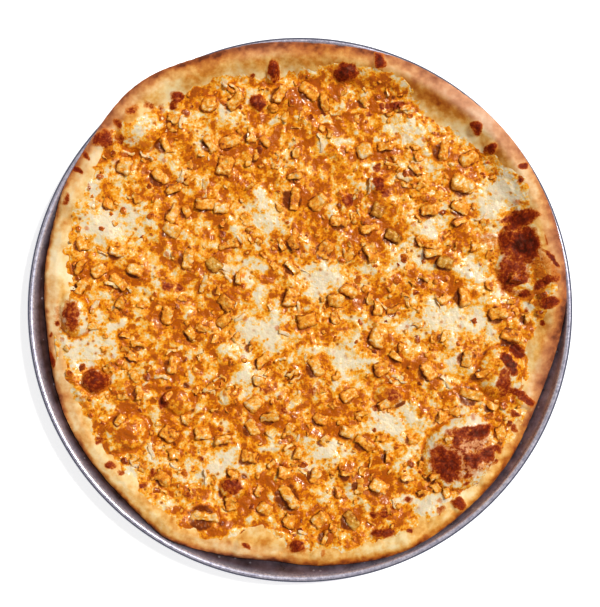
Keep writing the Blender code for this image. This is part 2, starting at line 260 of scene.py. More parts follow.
def aluminium_finish():
    """Satin metal with turning lines, tinted brown low on the wall, spotted by dried water, with
    painted shade by the crust and under the bead.
    """
    finish, tree, shader = new_finish("spun_aluminium")
    place = node(tree, "ShaderNodeTexCoord").outputs["Object"]
    split = node(tree, "ShaderNodeSeparateXYZ", {0: place})
    flat = node(tree, "ShaderNodeCombineXYZ", {0: split.outputs["X"], 1: split.outputs["Y"]})
    radius = node(tree, "ShaderNodeVectorMath", {0: flat.outputs[0]}, operation="LENGTH")
    radius = radius.outputs["Value"]
    rings = node(tree, "ShaderNodeCombineXYZ", {0: radius, 1: split.outputs["Z"]}).outputs[0]
    lines = speckle(tree, 0.7 * MM, 3.0, 0.7, rings)
    stains = speckle(tree, 9 * MM, 5.0, 0.65)
    lines = sway(tree, lines, (speckle(tree, 2.2 * MM, 3.0, 0.6), 0.45))
    grey = ramp(tree, lines, [(0.3, (158, 156, 184)), (0.7, (240, 238, 255))])
    baked = ramp(tree, stains, [(0.35, (104, 90, 106)), (0.75, (182, 174, 206))])
    # Painted shadow of the crust on the wall: near-black brown, partly a baked tint.
    burnt = ramp(tree, stains, [(0.3, (44, 26, 22)), (0.7, (92, 68, 70))])
    height, wall_top = split.outputs["Z"], PAN_WALL_TOP[1]
    low = band(tree, height, wall_top - 2 * MM, wall_top + 1 * MM, 0.85, 0.0)
    crust_shadow_share = band(tree, height, wall_top - 3 * MM, wall_top + 1.2 * MM, 1.0, 0.0)
    # The painted shadow is deepest on the left, away from the lamp.
    crust_shadow_leftward = band(tree, split.outputs["X"], -0.5 * PAN_RADIUS, 0.5 * PAN_RADIUS, 1.0, 0.5)
    crust_shadow_share = math_node(tree, "MULTIPLY", crust_shadow_share, crust_shadow_leftward)
    dried = band(tree, cells_of(tree, 7 * MM).outputs["Distance"], 0.10, 0.16, 0.35, 0.0)
    colour = blend(tree, low, grey, baked)
    colour = blend(tree, crust_shadow_share, colour, burnt)
    colour = blend(tree, dried, colour, paint(214, 214, 226))
    # Painted shade and dark reflection on the outer underside of the bead, in blue-grey.
    painted_dark_underside = band(tree, radius, PAN_RADIUS - 2.2 * MM, PAN_RADIUS - 1.4 * MM, 0, 0.92)
    colour = blend(tree, painted_dark_underside, colour, paint(58, 64, 90))
    dress(tree, shader, colour, bump(tree, lines, 0.03 * MM, 0.5), {"Metallic": 0.6})
    tree.links.new(band(tree, stains, 0.3, 0.7, 0.26, 0.42), shader.inputs["Roughness"])
    return finish


section = pan_section()
turns = np.arange(PAN_STEPS) * math.tau / PAN_STEPS
pan_points = [(r * math.cos(t), r * math.sin(t), z) for r, z in section for t in turns]
pan_faces = ring_faces(len(section), PAN_STEPS)
pan_points += [(0, 0, PAN_SHEET), (0, 0, 0)]
pan = finish_piece("spun_pan", pan_points, [face[::-1] for face in pan_faces], aluminium_finish())
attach(pan, "root")
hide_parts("pan")


# The dough is stretched by hand, so its edge wanders, and it is baked hard enough to blister.
# It is pale where the cheese kept it moist, gold on the crest, and brown against the pan.
PIZZA_RADIUS = 203.4 * MM
PIZZA_SHIFT = (0.9 * MM, 4.8 * MM)
EDGE_LOBES = (
    (20, 18, 1.8), (42, 10, 1.5), (85, 12, -3.0), (126, 12, 7.0), (163, 8, -1.8),
    (184, 16, -5.0), (240, 9, 4.8), (264, 7, -2.5), (294, 13, 3.6), (340, 15, -5.0),
)
SIDE_GAP = 0.8 * MM
DOUGH_BASE = PAN_SHEET + 0.3 * MM
DOUGH_TAPER = 15 * MM
EDGE_ABOVE_WALL = 1.5 * MM
EDGE_HEIGHT_LAPPED = 27.6 * MM
LAP_START = 202.5 * MM
LAP_END = 204.8 * MM
CREST_RISE = 4.0 * MM
CREST_INSET = 9 * MM
RIM_WIDTH = 31 * MM
CHEESE_TOP = 19 * MM
WAVE_HEIGHT = 0.7 * MM
WAVE_LENGTHS = (64 * MM, 47 * MM, 35 * MM)
WAVE_SEED = 11
# Random relief lies on square cells, counted from far outside the pizza.
GRAIN_CELLS = 211
FAR_CELL = 500
DOUGH_STEPS = 1000
# The blisters of dough and cheese, in mm and degrees: x, y, length, width, turn, rise.
BLISTERS = (
    (124, -110, 64, 54, 40, 9.0), (155, -48, 42, 38, 60, 6.5), (174, 43, 68, 46, 80, 5.0),
    (188, 31, 24, 16, 70, 4.0), (-122, 140, 38, 33, 30, 7.0), (-174, -3, 38, 24, 95, 6.0),
    (-158, -55, 21, 20, 0, 8.0), (-51, -137, 24, 20, 20, 5.0), (-28, -179, 46, 24, 10, 5.0),
    (-1, -182, 15, 11, 15, 3.5), (63, -172, 19, 9, 10, 3.0), (122, -149, 12, 10, 0, 3.0),
    (172, -70, 16, 10, -45, 3.0), (154, 93, 20, 18, 0, 2.0), (-21, 182, 17, 11, 80, 5.0),
    (35, 181, 19, 13, 0, 5.0), (60, 189, 13, 9, 70, 3.0), (134, 139, 13, 11, 60, 3.5),
    (146, 124, 11, 10, 0, 3.0), (-32, 160, 16, 14, -30, 4.0), (-95, 160, 16, 10, 75, 4.0),
    (-151, 131, 20, 16, 0, 4.0), (60, 97, 16, 14, -30, 4.0), (35, 82, 15, 9, 70, 3.0),
    (-93, -70, 26, 22, 0, 5.0), (-136, -95, 40, 30, 20, 4.0), (-53, -67, 20, 17, 0, 4.0),
    (70, -67, 24, 20, 0, 4.0),
)
# Where the oven charred a high spot, in mm and degrees: x, y, length, width, turn, strength.
# The faint rows at (-185, -8), (-167, -70), (-124, 129) and (193, 30) are painted shadows
# beside blisters, not char.
CHAR_AND_PAINTED_SHADOW = (
    (169, 70, 27, 13, 20, 1.0), (173, 50, 20, 24, 0, 1.3), (160, 52, 16, 20, 0, 0.85),
    (164, 27, 24, 30, 10, 0.85), (189, 22, 20, 7, 27, 0.85), (174, 13, 10, 7, 10, 0.8),
    (184, 36, 18, 26, 0, 0.37), (192, 40, 21, 3.4, -50, 1.0), (188, 54, 12, 1.8, -80, 0.6),
    (168, 82, 20, 4.5, 12, 0.36), (190, 6, 18, 9, 0, 0.75), (193, 30, 12, 9, -50, 0.33),
    (146, 54, 26, 14, -12, 0.36), (128, -111, 54, 44, 40, 0.41), (112, -118, 28, 23, -50, 1.0),
    (137, -94, 21, 10, 15, 1.1), (127, -93, 30, 9, 12, 0.7), (120, -102, 11, 10, 0, 0.9),
    (145, -110, 19, 13, 10, 0.95), (132, -115, 12, 10, 0, 1.05), (150, -117, 14, 3, 35, 0.6),
    (128, -127, 7, 3.5, 0, 0.8), (127, -133, 9, 3, 10, 0.6), (161, -42, 21, 7, -60, 1.25),
    (168, -32, 13, 9, -20, 1.1), (157, -56, 12, 22, 0, 0.75), (171, -66, 25, 6.5, -30, 0.85),
    (177, -71, 9, 6, -30, 1.0), (168, -80, 10, 4, -10, 0.7), (166, -92, 6, 6, 0, 0.6),
    (186, -9, 4.5, 4.5, 0, 0.7), (175, -1, 4, 7, 0, 0.4), (-176, -4, 15, 28, 0, 0.62),
    (-185, -8, 9, 32, 12, 0.31), (-167, -70, 8, 15, 25, 0.32), (-162, 0, 7, 6, 0, 0.5),
    (-187, -11, 4, 4, 0, 0.7), (-194, -18, 3, 6, 0, 0.6), (-193, -38, 5, 14, 10, 0.8),
    (-158, -55, 19, 19, 0, 0.85), (-129, 153, 12, 7, 20, 0.5), (-124, 129, 26, 7, -15, 0.31),
    (-116, 157, 11, 7, -20, 0.45), (-107, 155, 4, 10, 0, 0.42), (-140, 142, 9, 7, -50, 0.55),
    (-105, -70, 10, 14, 0, 0.8), (-52, -136, 17, 13, 10, 0.75), (72, -66, 17, 14, 0, 0.5),
    (-20, 183, 9, 15, 0, 0.95), (-37, 181, 6, 6, 0, 0.6), (-32, 160, 12, 11, -30, 0.85),
    (-95, 164, 9, 9, 0, 0.9), (-98, 158, 8, 8, 0, 0.8), (35, 182, 18, 12, 0, 1.15),
    (61, 191, 8, 11, 0, 1.0), (135, 140, 9, 10, 0, 0.9), (147, 124, 8, 8, 0, 1.0),
    (171, 110, 9, 6, 30, 0.9), (168, 99, 5, 6, 0, 0.7), (-151, 131, 16, 15, 0, 0.75),
    (-138, 131, 8, 7, 0, 0.55), (-179, 85, 5, 9, 0, 0.5), (-165, 120, 13, 4, -40, 0.8),
    (-171, 108, 14, 4, -35, 0.9), (74, 158, 16, 7, 15, 0.8), (63, 157, 6, 6, 0, 0.6),
    (53, 152, 6, 5, 0, 0.6), (61, 98, 10, 10, 0, 0.9), (66, 91, 8, 8, 0, 0.7),
    (37, 85, 7, 13, -10, 0.8), (60, 109, 6, 6, 0, 0.7), (-13, -78, 8, 8, 0, 0.55),
    (-25, -62, 8, 8, 0, 0.55), (-113, -126, 7, 7, 0, 0.55), (-121, -136, 7, 6, 0, 0.55),
    (-147, -120, 9, 5, 0, 0.65), (-138, -124, 7, 5, 0, 0.6), (-155, -102, 7, 6, 0, 0.5),
    (10, -63, 8, 7, 0, 0.55), (58, -75, 8, 7, 0, 0.55), (122, -149, 10, 9, 0, 0.85),
    (108, -154, 6, 5, 0, 0.5), (65, -172, 19, 8, 5, 0.85), (85, -170, 5, 5, 0, 0.7),
    (58, -158, 7, 7, 0, 0.75), (65, -158, 7, 6, 0, 0.75), (84, -147, 7, 6, 0, 0.5),
    (-2, -182, 13, 10, 15, 0.8), (17, -188, 5, 8, 0, 0.4), (-42, -181, 10, 4, -30, 0.75),
    (-103, 18, 9, 9, 0, 0.65), (-94, 18, 6, 6, 0, 0.7),
)
# Gaps in the burnt crust, where a lighter blister or fold shows, in the same terms.
SPARED = (
    (165, 28, 9, 6, 20, 0.35), (171, 18, 12, 3.5, 15, 0.8), (158, 66, 12, 3, 20, 0.5),
    (151, -111, 8, 4, -60, 0.6),
)


def ease(t):
    """0 below 0, 1 above 1, and a smooth step between."""
    t = np.clip(t, 0.0, 1.0)
    return t * t * (3 - 2 * t)


def lobes(angle, table):
    """The sum of the table's bulges at these angles in degrees."""
    total = 0.0
    for centre, half_width, amount in table:
        off = (angle - centre + 180) % 360 - 180
        total = total + amount * MM * np.exp(-((off / half_width) ** 2))
    return total


def angle_of(x, y):
    return np.degrees(np.arctan2(y, x)) % 360


def dough_edge(angle):
    turn = np.radians(angle)
    shift = PIZZA_SHIFT[0] * np.cos(turn) + PIZZA_SHIFT[1] * np.sin(turn)
    return PIZZA_RADIUS + shift + lobes(angle, EDGE_LOBES)


def lap(angle):
    """1 where the edge laps over the pan's rim, 0 where it stays inside the pan."""
    return ease((dough_edge(angle) - LAP_START) / (LAP_END - LAP_START))


def wall_share(low, high, value):
    return np.clip((value - low) / (high - low), 0.0, 1.0)


def wall_radius(height):
    return mix(PAN_FLOOR_RADIUS, PAN_WALL_TOP[0], wall_share(PAN_SHEET, PAN_WALL_TOP[1], height))


def wall_height(radius):
    return mix(PAN_SHEET, PAN_WALL_TOP[1], wall_share(PAN_FLOOR_RADIUS, PAN_WALL_TOP[0], radius))


def edge_height(angle):
    leaning = wall_height(dough_edge(angle) + SIDE_GAP) + EDGE_ABOVE_WALL
    return mix(leaning, EDGE_HEIGHT_LAPPED, lap(angle))


def oval_reach(x, y, oval):
    """The squared distance from an oval's middle, 1 on its outline. In mm and degrees."""
    middle_x, middle_y, length, width, turn = oval[:5]
    dx, dy = x - middle_x * MM, y - middle_y * MM
    c, s = math.cos(math.radians(turn)), math.sin(math.radians(turn))
    along = (dx * c + dy * s) / (0.5 * length * MM)
    across = (dy * c - dx * s) / (0.5 * width * MM)
    return along * along + across * across


def patches(x, y, table, fade=0.9, sharp=1.0):
    """How strongly the table's ovals cover each point, fading past their outlines."""
    total = np.zeros_like(x)
    for oval in table:
        total = np.maximum(total, oval[5] * np.exp(-fade * oval_reach(x, y, oval) ** sharp))
    return total


def grain(x, y, size, seed):
    """Smooth random relief from about -1 to 1, with bumps of the given size."""
    turns = np.random.default_rng(seed).uniform(0, math.tau, (GRAIN_CELLS, GRAIN_CELLS))
    u, v = x / size + FAR_CELL, y / size + FAR_CELL
    column, row = np.floor(u).astype(int), np.floor(v).astype(int)
    u, v = u - column, v - row

    def corner(i, j):
        turn = turns[(column + i) % GRAIN_CELLS, (row + j) % GRAIN_CELLS]
        return np.cos(turn) * (u - i) + np.sin(turn) * (v - j)

    su, sv = ease(u), ease(v)
    low = mix(corner(0, 0), corner(1, 0), su)
    high = mix(corner(0, 1), corner(1, 1), su)
    return 1.6 * mix(low, high, sv)


def mottle(x, y, size, seed, octaves=3):
    """Grain of several sizes, each half the last."""
    return sum([grain(x, y, size / 2 ** i, seed + i) * 0.55 ** i for i in range(octaves)])


def charring(x, y):
    """How burnt each point is, with a few faint painted shadows by blisters: ovals with ragged
    outlines.
    """
    ragged_x = x + 1.6 * MM * grain(x, y, 5 * MM, 141) + 2.0 * MM * grain(x, y, 12 * MM, 145)
    ragged_y = y + 1.6 * MM * grain(x, y, 5 * MM, 143) + 2.0 * MM * grain(x, y, 12 * MM, 147)
    spared = patches(x, y, SPARED, 0.75, 2)
    return patches(ragged_x, ragged_y, CHAR_AND_PAINTED_SHADOW, 0.75, 1.8) - spared


def surface_height(x, y):
    """The height of the pizza's top, dough and cheese alike, inside the rim's crest."""
    angle = angle_of(x, y)
    inset = dough_edge(angle) - np.hypot(x, y)
    crest = edge_height(angle) + CREST_RISE - CHEESE_TOP
    height = CHEESE_TOP + crest * ease((RIM_WIDTH - inset) / (RIM_WIDTH - CREST_INSET))
    domes = [b[5] * MM * (1 - np.minimum(1.0, oval_reach(x, y, b))) ** 0.75 for b in BLISTERS]
    height = height + np.max(domes, axis=0)
    rng = random.Random(WAVE_SEED)
    for length in WAVE_LENGTHS:
        a, b = rng.uniform(0, math.tau), rng.uniform(0, math.tau)
        swell = np.sin(math.tau * x / length + a) * np.sin(math.tau * y / length + b)
        height = height + WAVE_HEIGHT * swell
    return height


TOP_LIMIT = cad_box[1].z - 0.1 * MM


def limited(z):
    """Eases heights so that none passes the tallest solid."""
    start = TOP_LIMIT - 3 * MM
    over = np.maximum(0, z - start)
    return np.minimum(z, start) + 3 * MM * (1 - np.exp(-over / (3 * MM)))


def dough_rows(angle):
    """The dough's section at each angle, from the underside out, up and in: radius and height."""
    edge, height, lapped = dough_edge(angle), edge_height(angle), lap(angle)
    c, s = np.cos(np.radians(angle)), np.sin(np.radians(angle))

    def against_wall(z, inset):
        return np.minimum(edge - inset, wall_radius(z) - SIDE_GAP), z + 0 * edge

    def on_top(radius, lower=0.0):
        return radius, surface_height(radius * c, radius * s) - lower

    crest = edge - CREST_INSET
    crest_height = on_top(crest)[1]
    under_edge = height - mix(1.0, 1.4, lapped) * MM
    base = (np.minimum(edge - DOUGH_TAPER, PAN_FLOOR_RADIUS - 4 * MM), DOUGH_BASE + 0 * edge)
    cage = [
        base,
        against_wall(6 * MM, 8 * MM),
        against_wall(mix(height - 5 * MM, 20 * MM, lapped), 1.2 * MM),
        against_wall(under_edge - mix(1.2, 0.2, lapped) * MM, 0.6 * MM),
        (edge - mix(0.2, 1.3, lapped) * MM, under_edge),
        (edge, height),
        (edge - 1.6 * MM, mix(height, crest_height - 1.4 * MM, 0.62)),
        (edge - 4.6 * MM, crest_height - 1.0 * MM),
        (crest, crest_height),
    ]
    rows = [(0.05 * base[0], base[1]), (0.5 * base[0], base[1]), (0.9 * base[0], base[1])]
    for i in range(len(cage) - 1):
        before, here = cage[max(i - 1, 0)], cage[i]
        after, beyond = cage[i + 1], cage[min(i + 2, len(cage) - 1)]
        for share in (0, 0.25, 0.5, 0.75):
            rows.append(tuple(spline(*four, share) for four in zip(before, here, after, beyond)))
    for inset in np.arange(CREST_INSET, 52 * MM, 1.35 * MM):
        rows.append(on_top(edge - inset))
    rows.append(on_top(edge - 60 * MM, 2 * MM))
    rows.append(on_top(edge * 0.4, 3 * MM))
    rows.append(on_top(edge * 0.02, 3 * MM))
    return rows


def spline(before, here, after, beyond, t):
    """A smooth curve from here to after, with half the usual tension."""
    leave, reach = 0.35 * (after - before), 0.35 * (beyond - here)
    return (here * (1 + 2 * t) * (1 - t) ** 2 + after * t * t * (3 - 2 * t)
            + leave * t * (1 - t) ** 2 - reach * t * t * (1 - t))


def fields_of(tree, *names):
    """The numbers that the mesh carries at its points under these names."""
    return [node(tree, "ShaderNodeAttribute", attribute_name=name).outputs["Fac"]
            for name in names]


def dough_finish():
    """Baked dough: pale where it kept moist, then gold, tan and brown as its field toast grows;
    painted shade in the valley.
    """
    finish, tree, shader = new_finish("baked_dough")
    toast, char, rosy = fields_of(tree, "toast", "char", "rosy")
    fine, medium = speckle(tree, 1.3 * MM, 3), speckle(tree, 5 * MM, 4)
    broad = speckle(tree, 20 * MM, 3)
    uneven = sway(tree, toast, (broad, 0.45), (medium, 0.22), (fine, 0.07))
    colour = ramp(tree, uneven, [
        (0.0, (246, 230, 188)),
        (0.22, (243, 214, 154)),
        (0.42, (231, 178, 96)),
        (0.60, (206, 132, 46)),
        (0.78, (176, 92, 24)),
        (0.92, (128, 56, 14)),
        (1.0, (88, 34, 10)),
    ])
    rosy_skin = ramp(tree, uneven, [
        (0.0, (240, 206, 176)),
        (0.5, (212, 152, 116)),
        (1.0, (146, 82, 54)),
    ])
    colour = blend(tree, rosy, colour, rosy_skin)
    colour = charred_over(tree, colour, char, fine, medium)
    relief = bump(tree, fine, 0.35 * MM, 0.5, bump(tree, medium, 0.5 * MM, 0.4))
    dress(tree, shader, colour, relief, {
        "Roughness": 0.62,
        "Specular IOR Level": 0.2,
        "Specular Tint": (1.0, 0.8, 0.6, 1),
        "Subsurface Weight": 0.06,
        "Subsurface Radius": (1.0, 0.5, 0.2),
        "Subsurface Scale": 1.2 * MM,
    })
    return finish


def charred_over(tree, colour, char, fine, medium):
    """Lays burnt crust over a colour: an orange fringe round mottled rust, dark red and black."""
    edge = sway(tree, char, (medium, 0.22), (fine, 0.14))
    inside = math_node(tree, "MULTIPLY", sway(tree, char, (medium, 0.9), (fine, 0.7)), 0.65)
    burnt = ramp(tree, inside, [
        (0.10, (200, 116, 34)),
        (0.28, (168, 70, 10)),
        (0.44, (138, 40, 2)),
        (0.68, (102, 18, 0)),
        (1.0, (60, 8, 0)),
    ])
    colour = blend(tree, band(tree, edge, 0.20, 0.36, 0, 0.8), colour, paint(204, 110, 22))
    return blend(tree, band(tree, edge, 0.38, 0.46), colour, burnt)


# Where the rim is baked darker or paler: angle and half width in degrees, amount.
RIM_TOAST = (
    (10, 16, 0.16), (62, 22, 0.10), (100, 22, 0.17), (134, 16, 0.05), (160, 22, -0.04),
    (200, 26, 0.0), (235, 16, 0.06), (275, 25, 0.08), (310, 20, 0.0), (345, 16, 0.10),
)
# How wide the brown band by the edge is, in mm beyond its least, and below where the crest
# stays pale with a valley behind it, baked dark and darkened further as painted shade.
BROWN_BAND = (
    (8, 16, 6), (85, 34, 8), (134, 16, 4), (275, 24, 3), (310, 20, 2), (345, 18, 5),
)
BROWN_BAND_LEAST = 5 * MM
PALE_CREST = ((48, 22, 1.0),)
VALLEY = ((64, 16, 1.0), (38, 8, 0.5))
VALLEY_INSET = 17 * MM
VALLEY_WIDTH = 5 * MM
VALLEY_DEPTH = 0.9 * MM
SHOWN_ABOVE = 14 * MM
# Where the outer edge is rosy instead of gold.
RIM_ROSY = (
    (50, 24, 1.0), (98, 8, 0.5), (12, 10, 0.5), (345, 12, 0.6), (134, 18, 0.5), (255, 12, 0.4),
    (190, 28, 0.4),
)

dough_angles = np.arange(DOUGH_STEPS) * 360 / DOUGH_STEPS
rows = dough_rows(dough_angles)
radius = np.array([row[0] for row in rows])
height = np.array([row[1] for row in rows])
angle = np.broadcast_to(dough_angles, radius.shape)
turn = np.radians(angle)
inset = dough_edge(angle) - radius
shown = ease((height - SHOWN_ABOVE) / (3 * MM))
radius_relief = 0.5 * MM * grain(turn * 0.2, height, 7 * MM, 41)
radius = radius - np.abs(radius_relief) * shown * (1 - ease(inset / (6 * MM)))
dough_x, dough_y = radius * np.cos(turn), radius * np.sin(turn)
relief = 0.5 * mottle(dough_x, dough_y, 15 * MM, 31) + 0.22 * mottle(dough_x, dough_y, 5 * MM, 35)
height = height + MM * relief * shown * ease(inset / (3 * MM))
valley = lobes(angle, VALLEY) / MM * np.exp(-(((inset - VALLEY_INSET) / VALLEY_WIDTH) ** 2))
height = limited(height - VALLEY_DEPTH * valley)

band_width = BROWN_BAND_LEAST + lobes(angle, BROWN_BAND)
outside = 1 - ease((inset + 1 * MM * mottle(dough_x, dough_y, 9 * MM, 53)) / band_width)
outside = outside * (1 - 0.7 * lobes(angle, PALE_CREST) / MM)
moist = ease((inset - 14 * MM) / (9 * MM))
uneven = 0.12 * mottle(dough_x, dough_y, 24 * MM, 51)
# The valley's darker toast is partly baking and partly painted shade.
toast = 0.32 + 0.48 * outside + 0.34 * valley - 0.18 * moist + uneven - 0.10 * relief
toast = toast + lobes(angle, RIM_TOAST) / MM * ease((36 * MM - inset) / (14 * MM))
char = charring(dough_x, dough_y)
rosy = lobes(angle, RIM_ROSY) / MM * (1 - ease((inset - 9 * MM) / (6 * MM)))
dough_points = np.stack([dough_x, dough_y, height], axis=-1).reshape(-1, 3)
dough_faces = ring_faces(len(rows), DOUGH_STEPS)
dough_points = np.vstack([dough_points, [(0, 0, DOUGH_BASE)], [(0, 0, height[-1].mean())]])
dough_fields = {
    "toast": np.append(toast.ravel(), (0.3, 0.3)),
    "char": np.append(char.ravel(), (0, 0)),
    "rosy": np.append(rosy.ravel(), (0, 0)),
}
dough = finish_piece("baked_crust", dough_points, dough_faces, dough_finish(), dough_fields)
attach(dough, "root")
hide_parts("crust")


# The cheese is shredded mozzarella that melted together, and hot sauce that ran through it.
# The sauce stains it orange, its fat spots it gold, and the oven browns what stands up.
# Its browning also holds painted shade in the furrows round the big blisters and painted
# shadows to the lower left of the dice.
CHEESE_RADIUS = 187 * MM
CHEESE_LOBES = (
    (5, 7, 6.0), (30, 6, 8.0), (55, 8, -8.0), (70, 6, 6.0), (95, 9, -5.0), (112, 7, 4.0),
    (137, 10, 10.0), (176, 7, -9.0), (189, 6, 8.0), (218, 16, -3.0), (245, 8, 3.0),
    (260, 8, -15.0), (318, 10, 4.0), (350, 8, -8.0),
)
CHEESE_CELLS = 306
CHEESE_THICK = 1.3 * MM
CHEESE_LOW = 15 * MM
CHEESE_SKIRT = 5 * MM
CHEESE_TAPER = 7 * MM
EDGE_SAUCE = 0.28
# Bare cream cheese with little sauce, in mm and degrees: x, y, length, width, turn, strength.
CREAM_PATCHES = (
    (-145, 67, 50, 42, 0, 1.0), (-94, 102, 18, 14, 0, 0.7), (-29, 72, 32, 26, 0, 1.0),
    (-108, 117, 20, 14, 0, 0.7), (-54, 154, 26, 22, 0, 0.8), (-75, 129, 16, 12, 0, 0.7),
    (-46, 35, 28, 16, 0, 0.9), (-104, 164, 30, 16, 20, 0.8), (150, 86, 40, 30, 0, 1.3),
    (84, 136, 26, 18, 0, 0.8), (95, 114, 24, 18, 0, 0.8), (92, 58, 36, 20, 40, 1.1),
    (88, 45, 24, 18, 0, 0.9), (22, 20, 42, 26, 0, 1.1), (137, 30, 24, 16, 0, 0.8),
    (128, 133, 18, 14, 0, 0.8), (153, 10, 26, 16, 0, 0.9), (-163, -31, 50, 34, 0, 1.1),
    (-31, -22, 32, 40, 0, 1.2), (-39, -51, 22, 28, 0, 0.8), (-55, -118, 36, 28, 0, 1.0),
    (-110, -121, 22, 18, 0, 0.8), (-123, -129, 20, 14, 0, 0.8), (-110, -136, 22, 14, 0, 0.8),
    (-10, -41, 18, 16, 0, 0.7), (34, -41, 30, 32, 0, 1.1), (64, -88, 38, 28, 0, 1.0),
    (15, -110, 28, 22, 0, 0.9), (103, -148, 32, 22, 0, 1.0), (26, -134, 24, 18, 0, 0.8),
    (115, -8, 72, 26, 0, 1.1), (118, -39, 26, 18, 0, 0.8), (132, -78, 24, 18, 0, 0.8),
    (124, -110, 62, 52, 40, 0.95), (160, 46, 58, 36, 80, 0.75), (155, -48, 34, 30, 60, 0.5),
    (-122, 140, 34, 28, 30, 0.45), (-174, -3, 36, 24, 95, 0.6), (-28, -179, 44, 22, 10, 0.6),
)
# Where the sauce ran together, in mm and degrees: x, y, length, width, turn, strength.
SAUCE_POOLS = (
    (-115, 92, 40, 22, 0, 0.9), (8, 107, 26, 150, 0, 0.36), (-90, -12, 34, 46, 0, 0.35),
    (-50, 100, 30, 18, 0, 0.9), (52, 4, 40, 16, 0, 0.9), (-46, -94, 22, 22, 0, 0.8),
    (-15, -138, 26, 24, 0, 0.8), (38, -81, 24, 30, 0, 0.9), (100, -50, 24, 30, 0, 0.8),
    (62, -123, 22, 40, 0, 0.8), (-77, -165, 36, 16, 0, 0.8),
)


def cheese_edge(angle):
    wanted = CHEESE_RADIUS + lobes(angle, CHEESE_LOBES)
    return np.minimum(wanted, dough_edge(angle) - CREST_INSET - 1.5 * MM)


# The middles and lengths of the dice, in mm.
DICE = (
    (-70, 159, 13), (-15, 167, 15), (8, 169, 18), (-135, 111, 15), (-55, 130, 16), (-57, 111, 16),
    (-108, 103, 17), (-60, 79, 14), (-99, 62, 15), (-86, 39, 17), (-66, 35, 14), (-141, 45, 14),
    (-155, 30, 13), (-127, 31, 14), (-4, 86, 20), (-7, 10, 17), (14, 83, 16), (31, 68, 15),
    (50, 123, 14), (60, 77, 15), (111, 123, 18), (127, 97, 21), (130, 117, 16), (100, 77, 14),
    (72, 57, 15), (112, 37, 14), (38, 15, 15), (20, 47, 17), (127, 11, 17), (61, -20, 19),
    (13, -44, 18), (63, -45, 15), (153, -3, 17), (163, -20, 17), (129, -37, 15), (99, -47, 17),
    (38, -66, 14), (16, -84, 14), (37, -94, 14), (132, -65, 20), (61, -137, 16), (40, -162, 18),
    (12, -128, 14), (-101, -95, 15), (-75, -95, 13), (-98, -42, 15), (-102, -4, 15),
    (-35, -72, 14), (-37, -91, 15), (-39, -113, 15), (-74, -159, 26), (-8, -144, 25),
    (-27, -153, 14),
)
# Small bits of chicken, which the solid carries as blocks at the first of these places.
FUSED_COUNT = 58
FUSED_LENGTHS = (6.5 * MM, 10 * MM)
FUSED_SPACING = 15 * MM
FUSED_CLEAR = 1.5 * MM
FUSED_BORDER = 9 * MM
FUSED_SEED = 23
BIT_COUNT = 190
BIT_LENGTHS = (5.5 * MM, 15.0 * MM)
BIT_SPACING = 2.5 * MM
CRUMB_COUNT = 250
CRUMB_LENGTHS = (2.4 * MM, 5.0 * MM)
CRUMB_SPACING = 2.0 * MM
DRAWS_EACH = 50


def fused_places():
    """The seeded places of the blocks that the solid carries, as x, y, length, turn."""
    rng = random.Random(FUSED_SEED)
    places = []
    while len(places) < FUSED_COUNT:
        angle, radius = rng.uniform(0, 360), CHEESE_RADIUS * math.sqrt(rng.random())
        length, turn = rng.uniform(*FUSED_LENGTHS), rng.uniform(0, math.pi)
        px, py = radius * math.cos(math.radians(angle)), radius * math.sin(math.radians(angle))
        if radius > cheese_edge(angle) - FUSED_BORDER:
            continue
        if any(math.dist((px, py), other[:2]) < FUSED_SPACING for other in places):
            continue
        if any(math.dist((px, py), (dx * MM, dy * MM)) < 0.56 * (dice * MM + length) + FUSED_CLEAR
               for dx, dy, dice in DICE):
            continue
        places.append((px, py, length, turn))
    return places


BIG_BLISTERS = [oval for oval in BLISTERS if oval[2] > 20]
MOAT_WIDTH = 1.5 * MM


def on_blister(x, y, reach):
    """True within that share of a big blister's outline: the toppings slid off these."""
    return np.min([oval_reach(x, y, oval) for oval in BIG_BLISTERS], axis=0) < reach


def stirred(x, y, reach, size, seed):
    """The points moved by up to that reach, in swirls of the given size."""
    return x + reach * grain(x, y, size, seed), y + reach * grain(x, y, size, seed + 2)


def moats_and_shade(x, y):
    """1 in the furrow round a big blister's foot, where the sauce ran together and painted shade
    darkens it.
    """
    moved_x, moved_y = stirred(x, y, 3 * MM, 13 * MM, 181)
    away = [(np.sqrt(oval_reach(moved_x, moved_y, oval)) - 1) * oval[3] * MM / 2
            for oval in BIG_BLISTERS]
    return np.max([np.exp(-((off / MOAT_WIDTH) ** 2)) for off in away], axis=0)


def strewn(placed, count, lengths, spacing, sparse, seed, clear):
    """Adds seeded places, as x, y, length, turn: off the dice, apart, and thin on bare cheese."""
    draws = np.random.default_rng(seed).random((DRAWS_EACH * count, 5))
    angles, radii = 360 * draws[:, 0], CHEESE_RADIUS * 1.02 * np.sqrt(draws[:, 1])
    x, y = radii * np.cos(np.radians(angles)), radii * np.sin(np.radians(angles))
    sizes = mix(lengths[0], lengths[1], draws[:, 2] ** 1.6)
    crowded = 0.35 + 0.8 * mottle(x, y, 34 * MM, 67, 2)
    bare = np.maximum(patches(x, y, CREAM_PATCHES, 0.62), 0.6 - crowded)
    fit = (radii < cheese_edge(angles) - 0.6 * sizes) & (draws[:, 3] > sparse * bare)
    fit = fit & (patches(x, y, CHAR_AND_PAINTED_SHADOW, 0.75, 1.8) < 0.2) & ~on_blister(x, y, 1.05)
    placed = list(placed)
    for px, py, length, turn in zip(x[fit], y[fit], sizes[fit], math.tau * draws[fit, 4]):
        if len(placed) >= count:
            break
        if any(math.dist((px, py), other[:2]) < spacing + 0.3 * (length + other[2])
               for other in placed):
            continue
        if any(math.dist((px, py), (dx * MM, dy * MM)) < 0.5 * (dice * MM + clear * length)
               for dx, dy, dice in DICE):
            continue
        placed.append((px, py, length, turn))
    return placed


